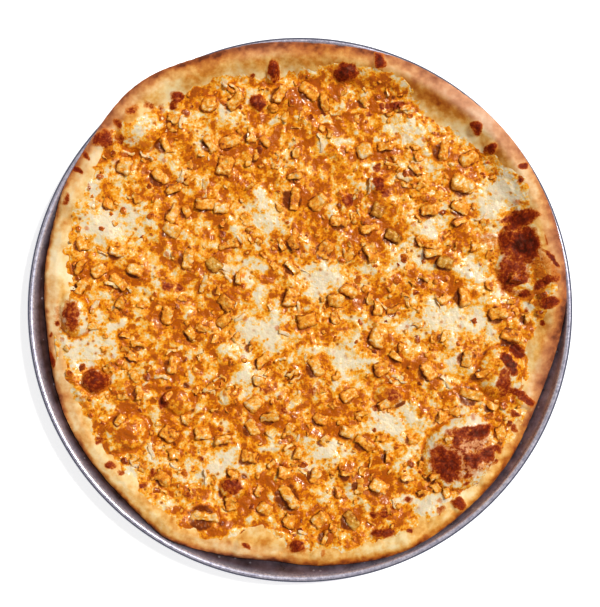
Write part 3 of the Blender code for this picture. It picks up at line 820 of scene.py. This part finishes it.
def bubbles(x, y, size, seed, share, narrow=0.22, wide=0.46):
    """The height, from 0 to 1, of round bubbles scattered one to a cell in a share of the cells."""
    rng = np.random.default_rng(seed)
    shift = rng.uniform(0.2, 0.8, (GRAIN_CELLS, GRAIN_CELLS, 2))
    kept = rng.uniform(0, 1, (GRAIN_CELLS, GRAIN_CELLS))
    width = rng.uniform(narrow, wide, (GRAIN_CELLS, GRAIN_CELLS))
    u, v = x / size + FAR_CELL, y / size + FAR_CELL
    column, row = np.floor(u).astype(int), np.floor(v).astype(int)
    top = np.zeros_like(x)
    for i in (-1, 0, 1):
        for j in (-1, 0, 1):
            cell = (column + i) % GRAIN_CELLS, (row + j) % GRAIN_CELLS
            off_u = u - column - i - shift[cell][..., 0]
            off_v = v - row - j - shift[cell][..., 1]
            away = np.hypot(off_u, off_v)
            dome = np.sqrt(np.clip(1 - (away / width[cell]) ** 2, 0, 1)) * (kept[cell] < share)
            top = np.maximum(top, dome * width[cell] / wide)
    return top


bits = strewn(fused_places(), BIT_COUNT, BIT_LENGTHS, BIT_SPACING, sparse=1.0, seed=31, clear=0.7)
crumbs = strewn([], CRUMB_COUNT, CRUMB_LENGTHS, CRUMB_SPACING, sparse=0.8, seed=41, clear=0.7)
dice = [(dx * MM, dy * MM, length * MM, 0) for dx, dy, length in DICE]


def gathered(x, y, places):
    """1 where a piece of chicken lies, fading to 0 a few millimetres off its outline."""
    total = np.zeros_like(x)
    for px, py, length, _ in places:
        near = (np.abs(x - px) < 1.6 * length) & (np.abs(y - py) < 1.6 * length)
        away = np.hypot(x[near] - px, y[near] - py) / (0.72 * length)
        total[near] = np.maximum(total[near], np.exp(-(away ** 3)))
    return total


def cheese_fields(x, y):
    """The cheese's lumps in mm, how much sauce stains it, and how browned it is, with painted shade
    and shadow in the browning.
    """
    soft_x, soft_y = stirred(x, y, 4.5 * MM, 9 * MM, 161)
    bare = np.clip(patches(soft_x, soft_y, CREAM_PATCHES, 0.62), 0, 1)
    warp_x, warp_y = stirred(x, y, 3 * MM, 11 * MM, 151)
    swell = mottle(warp_x, warp_y, 12 * MM, 91, 3)
    clots = bubbles(warp_x, warp_y, 9 * MM, 71, 0.6, 0.25, 0.5)
    pimples = bubbles(warp_x, warp_y, 5.5 * MM, 73, 0.22)
    broad = np.abs(grain(warp_x, warp_y, 8 * MM, 171))
    thin = np.abs(grain(warp_x, warp_y, 5 * MM, 175))
    threads = np.maximum(ease(3.4 * (0.9 - broad * 3.2)), 0.7 * ease(3.4 * (0.9 - thin * 3.0)))
    small = grain(x, y, 3.1 * MM, 97)
    lumps = (1 - 0.65 * bare) * (0.8 * swell + 0.9 * clots + 0.25 * small + 0.6 * threads)
    lumps = lumps + 0.4 * pimples
    furrow = moats_and_shade(x, y)
    islands = np.tanh(2.8 * grain(warp_x, warp_y, 9 * MM, 165))
    islands = islands + 0.5 * np.tanh(2 * grain(x, y, 5 * MM, 167))
    lumps = lumps - 0.9 * furrow
    sauce = 0.785 + 0.22 * patches(x, y, SAUCE_POOLS) - 0.72 * bare
    sauce = sauce + 0.25 * mottle(x, y, 24 * MM, 61)
    sauce = sauce - 0.15 * swell - 0.12 * clots - 0.10 * small - 0.20 * threads
    sauce = sauce - 0.30 * islands * (1 - 0.7 * bare)
    sauce = sauce + (0.28 + 0.26 * bare) * gathered(x, y, bits + crumbs + dice) + 0.35 * furrow
    # Painted shadow: a dark crescent on the cheese to the lower left of each die and big bit, away
    # from the lamp.
    big_bits = [bit for bit in bits if bit[2] > 8 * MM]
    foot = ease((gathered(x + 2.0 * MM, y + 1.3 * MM, dice + big_bits) - 0.74) / 0.17)
    browned = 0.7 * pimples * ease(sauce * 2.5) + 0.8 * bubbles(x, y, 10 * MM, 75, 0.3, 0.12, 0.3)
    # Painted shade in the furrows round the big blisters, laid into the browning with the sauce.
    browned = browned + furrow * (0.70 + 0.25 * islands) + 1.1 * foot
    return lumps, sauce, browned


def cheese_height(x, y):
    return limited(surface_height(x, y) + CHEESE_THICK + MM * cheese_fields(x, y)[0])


def sauced(tree, amount):
    """Colours of cheese and meat by the sauce on them: cream, gold, orange, then rust."""
    return ramp(tree, amount, [
        (0.0, (234, 220, 190)),
        (0.16, (235, 213, 165)),
        (0.32, (241, 194, 110)),
        (0.46, (242, 172, 50)),
        (0.60, (237, 148, 14)),
        (0.76, (219, 124, 5)),
        (0.88, (194, 96, 2)),
        (0.95, (150, 62, 2)),
        (1.0, (92, 28, 2)),
    ])


def food_gloss(gloss, fat):
    """Dull reflections of the room, with the light's own glints on fat and sauce."""
    return {
        "Roughness": gloss,
        "Specular IOR Level": fat,
        "Specular Tint": (1.0, 0.76, 0.5, 1),
        "Coat Weight": 0.2,
        "Coat Roughness": 0.1,
        "Subsurface Weight": 0.12,
        "Subsurface Radius": (1.0, 0.5, 0.2),
        "Subsurface Scale": 1.2 * MM,
    }


def speckles(tree, *sizes):
    """One noise for each size, in mm."""
    return [speckle(tree, size * MM) for size in sizes]


def dots(tree, spacing, width, share):
    """Round soft spots scattered one to a cell, in that share of the cells."""
    cells = cells_of(tree, spacing)
    spot = band(tree, cells.outputs["Distance"], width, 0.5 * width)
    chance = node(tree, "ShaderNodeSeparateColor", {0: cells.outputs["Color"]}).outputs[0]
    kept = band(tree, chance, share, share - 0.02)
    return math_node(tree, "MULTIPLY", spot, kept)


def cheese_finish():
    """Melted cheese whose fields say how much sauce, browning and charring each point has; browning
    and charring also hold painted shadows.
    """
    finish, tree, shader = new_finish("melted_cheese")
    sauce, toast, char = fields_of(tree, "sauce", "toast", "char")
    fine, small, medium = speckles(tree, 1.5, 3.4, 7)
    stained = sway(tree, sauce, (medium, 0.50), (small, 0.65), (fine, 0.45))
    stained = math_node(tree, "MULTIPLY_ADD", dots(tree, 4.2 * MM, 0.36, 0.6), 0.34, stained)
    colour = sauced(tree, math_node(tree, "MINIMUM", stained, 0.905))
    light = band(tree, stained, 0.5, 0.75, 1.0, 0.0)
    light = math_node(tree, "MULTIPLY", light, band(tree, sauce, -0.08, 0.16, 0.25, 1.0))
    ringed = math_node(tree, "MULTIPLY", dots(tree, 6.4 * MM, 0.36, 0.65), light)
    colour = blend(tree, math_node(tree, "MULTIPLY", ringed, 0.75), colour, paint(230, 152, 32))
    dotted = math_node(tree, "MULTIPLY", dots(tree, 6.4 * MM, 0.22, 0.65), light)
    colour = blend(tree, dotted, colour, paint(166, 88, 8))
    browned = sway(tree, toast, (small, 0.35), (fine, 0.2))
    colour = blend(tree, band(tree, browned, 0.35, 0.7, 0, 0.75), colour, paint(206, 106, 14))
    # The darkest browning, which also draws the painted shadows by the dice and in the furrows.
    colour = blend(tree, band(tree, browned, 0.75, 1.1, 0, 0.9), colour, paint(104, 34, 2))
    colour = charred_over(tree, colour, char, fine, small)
    relief = bump(tree, fine, 0.5 * MM, 0.7, bump(tree, small, 1.0 * MM, 0.7))
    dress(tree, shader, colour, relief, food_gloss(0.27, 0.30))
    tree.links.new(band(tree, char, 0.2, 0.4, 0.22, 0.0), shader.inputs["Coat Weight"])
    dull = band(tree, char, 0.3, 0.5, 0, 0.3)
    wet = band(tree, small, 0.4, 0.6, 0.19, 0.36)
    tree.links.new(math_node(tree, "ADD", wet, dull), shader.inputs["Roughness"])
    return finish


def disc_points(cells, radius_at):
    """A square grid drawn out to a disc: its points, row by row."""
    side = np.linspace(-1, 1, cells + 1)
    u, v = np.meshgrid(side, side)
    x, y = u * np.sqrt(1 - v * v / 2), v * np.sqrt(1 - u * u / 2)
    reach = radius_at(angle_of(x, y))
    return x * reach, y * reach


def grid_faces(cells):
    """The grid's quads, and its border as one loop of points."""
    wide = cells + 1
    faces = [(j * wide + i, j * wide + i + 1, (j + 1) * wide + i + 1, (j + 1) * wide + i)
             for j in range(cells) for i in range(cells)]
    border = list(range(wide))
    border += [j * wide + cells for j in range(1, wide)]
    border += [cells * wide + i for i in range(cells - 1, -1, -1)]
    border += [j * wide for j in range(cells - 1, 0, -1)]
    return faces, border


def layer_piece(name, cells, x, y, z, low, finish, fields):
    """A closed layer: the grid's top surface, a wall down its border and a flat underside."""
    faces, loop = grid_faces(cells)
    top = np.stack([x, y, z], axis=-1).reshape(-1, 3)
    below = top[loop] * (1, 1, 0) + (0, 0, low)
    points = np.vstack([top, below, [(0, 0, low)]])
    for i, point in enumerate(loop):
        after = (i + 1) % len(loop)
        faces.append((loop[after], point, len(top) + i, len(top) + after))
        faces.append((len(top) + after, len(top) + i, len(points) - 1))
    spare = np.zeros(len(loop) + 1)
    padded = {key: np.append(values.ravel(), spare) for key, values in fields.items()}
    return finish_piece(name, points, faces, finish, padded)


x, y = disc_points(CHEESE_CELLS, lambda angle: cheese_edge(angle) + CHEESE_SKIRT)
lumps, sauce, browned = cheese_fields(x, y)
border = cheese_edge(angle_of(x, y)) - np.hypot(x, y)
border = border + 3.5 * MM * mottle(x, y, 12 * MM, 81)
thickness = CHEESE_THICK * np.clip(border / CHEESE_TAPER, -1.2, 1.0)
char = charring(x, y)
cheese_z = surface_height(x, y) + thickness + MM * lumps * ease(border / CHEESE_TAPER)
cheese_z = limited(cheese_z + MM * 0.8 * np.clip(char, 0, 1) * mottle(x, y, 4.2 * MM, 99, 2))
sauce = mix(EDGE_SAUCE, sauce, ease(border / (9 * MM) + 0.5))
cheese = layer_piece("melted_cheese", CHEESE_CELLS, x, y, cheese_z, CHEESE_LOW, cheese_finish(),
                     {"sauce": sauce, "toast": browned, "char": char})
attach(cheese, "root")
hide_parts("cheese")


# The larger chicken is cooked breast, cut to dice and tossed in the sauce. Each die starts
# from its own solid, and its faces are roughened along the meat's grain.
CHICKEN_VOXEL = 0.75 * MM
CHICKEN_SUNK = 1.6 * MM
CHICKEN_RELIEF = 1.1 * MM
OLIVE_DICE = ("chicken_11", "chicken_20", "chicken_25", "chicken_26", "chicken_42")
MEAT = paint(242, 160, 92)
MEAT_SHARE = 0.13


def chicken_finish():
    """Cooked meat under sauce: pale on top, orange low down and in its hollows, some olive; the
    dark sides and low parts are partly painted shade.
    """
    finish, tree, shader = new_finish("sauced_chicken")
    sauce, tint, char = fields_of(tree, "sauce", "tint", "char")
    fine, small, medium = speckles(tree, 1.4, 3.0, 6)
    stained = sway(tree, sauce, (medium, 0.35), (small, 0.55), (fine, 0.4))
    colour = blend(tree, MEAT_SHARE, sauced(tree, stained), MEAT)
    herb = blend(tree, band(tree, stained, 0.2, 0.8), paint(196, 156, 66), paint(120, 78, 14))
    colour = blend(tree, band(tree, tint, 0.91, 0.95, 0, 0.5), colour, herb)
    colour = charred_over(tree, colour, char, fine, small)
    dress(tree, shader, colour, bump(tree, fine, 0.5 * MM, 0.8), food_gloss(0.27, 0.30))
    return finish


def meat_relief(points, seed, depth):
    """How far each point of a piece moves out or in: lumps, fibres and pits."""
    turn = random.Random(seed).uniform(0, math.pi)
    along = points[:, 0] * math.cos(turn) + points[:, 1] * math.sin(turn)
    across = points[:, 1] * math.cos(turn) - points[:, 0] * math.sin(turn) + 0.7 * points[:, 2]
    lumps = grain(along + 0.4 * points[:, 2], across, 6 * MM, seed)
    fibres = grain(along, across * 3, 5 * MM, seed + 1)
    pits = grain(along + 0.5 * points[:, 2], across, 2.6 * MM, seed + 2)
    return depth * (0.6 * lumps + 0.5 * fibres + 0.4 * pits)


def read_vectors(items, field):
    flat = np.empty(len(items) * 3, np.float32)
    items.foreach_get(field, flat)
    return flat.reshape(-1, 3).astype(float)


def meat_from(source, name, seed):
    """A new mesh over the source solid, remeshed evenly and roughened."""
    cage = add_object(name + "_cage", source.data.copy())
    weld = cage.modifiers.new("Weld", "WELD")
    weld.merge_threshold = 0.01 * MM
    even = cage.modifiers.new("Even", "REMESH")
    even.mode = "VOXEL"
    even.voxel_size = CHICKEN_VOXEL
    soft = cage.modifiers.new("Soft", "SMOOTH")
    soft.factor = 0.3
    soft.iterations = 1
    graph = bpy.context.evaluated_depsgraph_get()
    mesh = bpy.data.meshes.new_from_object(cage.evaluated_get(graph))
    bpy.data.objects.remove(cage)
    points = read_vectors(mesh.vertices, "co")
    normals = read_vectors(mesh.vertex_normals, "vector")
    relief = meat_relief(points, seed, CHICKEN_RELIEF)
    low, high = points[:, 2].min(), points[:, 2].max()
    lift = (points[:, 2] - low) / (high - low)
    points = points + normals * relief[:, None]
    points[:, 2] -= CHICKEN_SUNK * (1 - ease(lift / 0.35))
    points[:, 2] = limited(points[:, 2])
    mesh.vertices.foreach_set("co", points.astype(np.float32).ravel())
    mesh.update()
    # Painted shade: steep sides and low parts take more sauce colour and tops less, partly real
    # sauce and partly painted shade.
    shade = 0.40 * steepness(mesh) + 0.25 * (1 - ease(lift / 0.4))
    return mesh, 0.66 - 0.25 * lift + shade - 0.16 * relief / MM


def burnt_at(mesh):
    spots = read_vectors(mesh.vertices, "co")
    return charring(spots[:, 0], spots[:, 1])


def steepness(mesh):
    """0 where the mesh faces up, 1 where it faces sideways or down."""
    return 1 - np.clip(read_vectors(mesh.vertex_normals, "vector")[:, 2], 0, 1)


meat = chicken_finish()
dice_names = sorted(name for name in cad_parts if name.startswith("chicken_"))
tints = random.Random(17)
for i, name in enumerate(dice_names):
    mesh, sauce = meat_from(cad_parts[name], name, 200 + 5 * i)
    mesh.name = "diced_" + name
    add_field(mesh, "sauce", sauce + tints.uniform(-0.12, 0.12))
    add_field(mesh, "tint", np.full(len(sauce), 1.0 if name in OLIVE_DICE else 0.5))
    add_field(mesh, "char", 0.8 * burnt_at(mesh))
    mesh.materials.clear()
    mesh.materials.append(meat)
    mesh.shade_smooth()
    piece = add_object("diced_" + name, mesh)
    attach(piece, "root")
    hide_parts(name)


# Smaller bits of the same chicken broke off the dice, and lie all over the cheese. They are
# torn and irregular, and sunk in the cheese where it melted round them.
# Extra sauce colour on the steep sides of each bit: partly sauce, partly painted shade.
SAUCE_AND_SHADE_ON_SIDES = 0.36


def scatter_tree(name):
    """Nodes that put one rough lump on each point, sized and turned by the point's own values."""
    tree = bpy.data.node_groups.new(name, "GeometryNodeTree")
    for label, kind in (("Places", "Geometry"), ("Sides", "Int"), ("Roundness", "Float"),
                        ("Lump size", "Float"), ("Lump depth", "Float"), ("Seed", "Float"),
                        ("Finish", "Material")):
        tree.interface.new_socket(label, in_out="INPUT", socket_type="NodeSocket" + kind)
    tree.interface.new_socket("Lumps", in_out="OUTPUT", socket_type="NodeSocketGeometry")

    def vector_node(operation, inputs):
        return node(tree, "ShaderNodeVectorMath", inputs, operation=operation).outputs[0]

    def carried(field, kind="FLOAT"):
        read = node(tree, "GeometryNodeInputNamedAttribute", {"Name": field}, data_type=kind)
        return read.outputs[0]

    def with_field(geometry, field, value):
        inputs = {"Geometry": geometry, "Name": field, "Value": value}
        return node(tree, "GeometryNodeStoreNamedAttribute", inputs, domain="POINT",
                    data_type="FLOAT")

    given = node(tree, "NodeGroupInput").outputs
    sides = given["Sides"]
    corners = {"Vertices X": sides, "Vertices Y": sides, "Vertices Z": sides}
    block = node(tree, "GeometryNodeMeshCube", corners)
    place = node(tree, "GeometryNodeInputPosition").outputs[0]
    ball = vector_node("SCALE", {0: vector_node("NORMALIZE", {0: place}), "Scale": 0.6})
    rounded = {0: given["Roundness"], 4: place, 5: ball}
    rounded = node(tree, "ShaderNodeMix", rounded, data_type="VECTOR").outputs[1]
    lump = {"Geometry": block.outputs["Mesh"], "Position": rounded}
    lump = node(tree, "GeometryNodeSetPosition", lump)
    up = node(tree, "ShaderNodeSeparateXYZ", {0: place}).outputs["Z"]
    up = math_node(tree, "ADD", up, 0.5)
    lump = with_field(lump.outputs[0], "lift", up)
    turn, size = carried("turn", "FLOAT_VECTOR"), carried("size", "FLOAT_VECTOR")
    laid = node(tree, "GeometryNodeInstanceOnPoints", {
        "Points": given["Places"], "Instance": lump.outputs[0], "Rotation": turn, "Scale": size})
    real = node(tree, "GeometryNodeRealizeInstances", {"Geometry": laid.outputs[0]})
    spot = node(tree, "GeometryNodeInputPosition").outputs[0]
    scale = math_node(tree, "DIVIDE", 1.0, given["Lump size"])
    wobble = node(tree, "ShaderNodeTexNoise", {
        "Vector": spot, "W": given["Seed"], "Scale": scale, "Detail": 1.0}, noise_dimensions="4D")
    centred = vector_node("SUBTRACT", {0: wobble.outputs["Color"], 1: (0.5, 0.5, 0.5)})
    moved = vector_node("SCALE", {0: centred, "Scale": given["Lump depth"]})
    rough = node(tree, "GeometryNodeSetPosition", {"Geometry": real.outputs[0], "Offset": moved})
    # Lower on each lump is darker, partly sauce and partly painted shade.
    sauce = math_node(tree, "MULTIPLY_ADD", carried("lift"), -0.24, carried("coated"))
    rough = with_field(rough.outputs[0], "sauce", sauce)
    smooth = node(tree, "GeometryNodeSetShadeSmooth", {0: rough.outputs[0], "Shade Smooth": True})
    painted = node(tree, "GeometryNodeSetMaterial",
                   {0: smooth.outputs[0], "Material": given["Finish"]})
    node(tree, "NodeGroupOutput", {0: painted.outputs[0]})
    return tree


def scattered(name, points, sizes, turns, coats, tints, settings):
    """Runs the tree on the points and returns its result as one plain mesh."""
    mesh = bpy.data.meshes.new(name)
    mesh.from_pydata([tuple(point) for point in points], [], [])
    add_field(mesh, "size", sizes, "FLOAT_VECTOR", "vector")
    add_field(mesh, "turn", turns, "FLOAT_VECTOR", "vector")
    add_field(mesh, "coated", coats)
    add_field(mesh, "tint", tints)
    strewer = add_object(name + "_places", mesh)
    modifier = strewer.modifiers.new("Strew", "NODES")
    modifier.node_group = lump_tree
    for item in lump_tree.interface.items_tree:
        if item.in_out == "INPUT" and item.name in settings:
            modifier[item.identifier] = settings[item.name]
    graph = bpy.context.evaluated_depsgraph_get()
    made = bpy.data.meshes.new_from_object(strewer.evaluated_get(graph))
    bpy.data.objects.remove(strewer)
    made.name = name
    spots = read_vectors(made.vertices, "co")
    spots[:, 2] = limited(spots[:, 2])
    made.vertices.foreach_set("co", spots.astype(np.float32).ravel())
    made.update()
    sauce = np.empty(len(spots), np.float32)
    made.attributes["sauce"].data.foreach_get("value", sauce)
    sauce += np.float32(SAUCE_AND_SHADE_ON_SIDES) * steepness(made).astype(np.float32)
    made.attributes["sauce"].data.foreach_set("value", sauce)
    add_field(made, "char", 0.8 * burnt_at(made))
    return add_object(name, made)


def strew_lumps(name, placed, settings, seed, flat, tall, sunk, tilt, tints, coat=0.50):
    """Lumps of one kind at the given places, each with its own proportions and turn.

    flat and tall are ranges of width and height by length, and sunk is a share of the height.
    """
    rng = random.Random(seed)
    spots = np.array([place[:2] for place in placed])
    heights = cheese_height(spots[:, 0], spots[:, 1])
    coats = coat + 0.28 * np.clip(cheese_fields(spots[:, 0], spots[:, 1])[1], 0, 1)
    points, sizes, turns, tones = [], [], [], []
    for (px, py, length, turn), z in zip(placed, heights):
        width, height = length * rng.uniform(*flat), length * rng.uniform(*tall)
        points.append((px, py, z + (0.5 - sunk) * height))
        sizes.append((length, width, height))
        turns.append((rng.uniform(-tilt, tilt), rng.uniform(-tilt, tilt), turn))
        tones.append(rng.uniform(*tints))
    piece = scattered(name, points, sizes, turns, coats, tones, settings)
    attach(piece, "root")
    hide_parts("cheese")
    return piece


lump_tree = scatter_tree("strewn_lumps")
torn = {"Sides": 6, "Roundness": 0.16, "Lump size": 4.5 * MM, "Lump depth": 7 * MM, "Seed": 3.0,
        "Finish": meat}
bits_piece = strew_lumps("chicken_bits", bits, torn, seed=37, flat=(0.32, 0.8), tall=(0.24, 0.44),
                         sunk=0.3, tilt=0.3, tints=(0, 0.94))

# The smallest crumbs, 2 to 5 mm.
crumbled = {"Sides": 3, "Roundness": 0.5, "Lump size": 2.6 * MM, "Lump depth": 4 * MM, "Seed": 5.0,
            "Finish": meat}
crumbs_piece = strew_lumps("chicken_crumbs", crumbs, crumbled, seed=43, flat=(0.4, 0.9),
                           tall=(0.35, 0.6), sunk=0.4, tilt=0.5, tints=(0, 0.9))


# Thin shreds of meat and of cheese that ran out into strings, pale and bent.
SHRED_COUNT = 80
SHRED_LENGTHS = (7 * MM, 15 * MM)
shreds = strewn([], SHRED_COUNT, SHRED_LENGTHS, spacing=-2 * MM, sparse=1.2, seed=61, clear=0.2)
bent = {"Sides": 6, "Roundness": 0.3, "Lump size": 6 * MM, "Lump depth": 9 * MM, "Seed": 9.0,
        "Finish": meat}
shreds_piece = strew_lumps("torn_shreds", shreds, bent, seed=67, flat=(0.15, 0.26),
                           tall=(0.12, 0.17), sunk=0.25, tilt=0.12, tints=(0, 0.9), coat=0.30)


# Bubbles of cheese that rose and browned in the oven: small round domes with dark tops.
BUBBLE_COUNT = 170
BUBBLE_LENGTHS = (2.6 * MM, 6.5 * MM)


def bubble_finish():
    """Browned cheese: gold at the foot, orange to rust on top, glossy with fat."""
    finish, tree, shader = new_finish("browned_cheese_bubbles")
    lift, tint = fields_of(tree, "lift", "tint")
    fine, small = speckles(tree, 1.2, 2.6)
    brown = math_node(tree, "MULTIPLY_ADD", lift, 1.5, -0.85)
    brown = math_node(tree, "MULTIPLY_ADD", tint, 0.4, brown)
    brown = sway(tree, brown, (small, 0.5), (fine, 0.4))
    colour = ramp(tree, brown, [
        (0.0, (249, 202, 112)),
        (0.3, (240, 160, 44)),
        (0.55, (218, 118, 14)),
        (0.8, (176, 76, 8)),
        (1.0, (122, 40, 4)),
    ])
    dress(tree, shader, colour, bump(tree, fine, 0.5 * MM, 0.8), food_gloss(0.22, 0.45))
    return finish


domes = strewn([], BUBBLE_COUNT, BUBBLE_LENGTHS, spacing=3.5 * MM, sparse=0.9, seed=47, clear=0.7)
round_topped = {"Sides": 4, "Roundness": 0.8, "Lump size": 2.8 * MM, "Lump depth": 4 * MM,
                "Seed": 7.0, "Finish": bubble_finish()}
domes_piece = strew_lumps("cheese_bubbles", domes, round_topped, seed=53, flat=(0.75, 1.0),
                          tall=(0.24, 0.4), sunk=0.5, tilt=0.25, tints=(0, 0.9))


# The floor, the soft light of a studio and the camera, which looks straight down.
PHOTO_HEIGHT = 607
PHOTO_WIDTH = 600
METRES_PER_PIXEL = 0.769 * MM
PAN_CENTRE_IN_PHOTO = (300.0, 310.0)
LENS = 85
SENSOR = 36

bm = bmesh.new()
bmesh.ops.create_circle(bm, cap_ends=True, segments=64, radius=6)
floor_mesh = bpy.data.meshes.new("floor")
bm.to_mesh(floor_mesh)
bm.free()
floor = add_object("floor", floor_mesh)
paper, paper_tree, paper_shader = new_finish("pale_floor")
paper_shader.inputs["Base Color"].default_value = (0.94, 0.94, 0.95, 1)
paper_shader.inputs["Roughness"].default_value = 0.9
paper_shader.inputs["Emission Color"].default_value = (0.94, 0.97, 1.0, 1)
paper_shader.inputs["Emission Strength"].default_value = 0.7
floor_mesh.materials.append(paper)

world = bpy.data.worlds.new("studio")
bpy.context.scene.world = world
world.use_nodes = True
sky = world.node_tree.nodes["Background"]
direction = node(world.node_tree, "ShaderNodeTexCoord").outputs["Generated"]
above = node(world.node_tree, "ShaderNodeSeparateXYZ", {0: direction}).outputs["Z"]
dome_light = ramp(world.node_tree, above, [
    (0.0, (0.13, 0.11, 0.10, 1)),
    (0.25, (0.28, 0.25, 0.23, 1)),
    (0.55, (0.85, 0.77, 0.68, 1)),
    (0.85, (0.85, 0.77, 0.68, 1)),
    (0.94, (0.13, 0.12, 0.11, 1)),
    (1.0, (0.05, 0.05, 0.05, 1)),
], as_seen=False)
world.node_tree.links.new(dome_light, sky.inputs["Color"])
sky.inputs["Strength"].default_value = 0.52

KEY_FROM = Vector((1.1, 0.75, 2.1))
key = bpy.data.lights.new("key", "SUN")
key.energy = 2.95
key.angle = math.radians(10)
key.color = (1.0, 0.98, 0.94)
key_lamp = add_object("key", key)
key_lamp.location = KEY_FROM
key_lamp.rotation_mode = "QUATERNION"
key_lamp.rotation_quaternion = (-KEY_FROM).to_track_quat("-Z", "Y")

view_height = PHOTO_HEIGHT * METRES_PER_PIXEL
distance = view_height / 2 / (SENSOR / 2 / LENS)
camera = bpy.data.cameras.new("camera")
camera.lens = LENS
camera.sensor_fit = "AUTO"
camera.sensor_width = SENSOR
eye = add_object("camera", camera)
eye.location = (
    (PHOTO_WIDTH / 2 - PAN_CENTRE_IN_PHOTO[0]) * METRES_PER_PIXEL,
    (PAN_CENTRE_IN_PHOTO[1] - PHOTO_HEIGHT / 2) * METRES_PER_PIXEL,
    PAN_HEIGHT + distance,
)
bpy.context.scene.camera = eye
bpy.context.scene.view_settings.view_transform = "Standard"
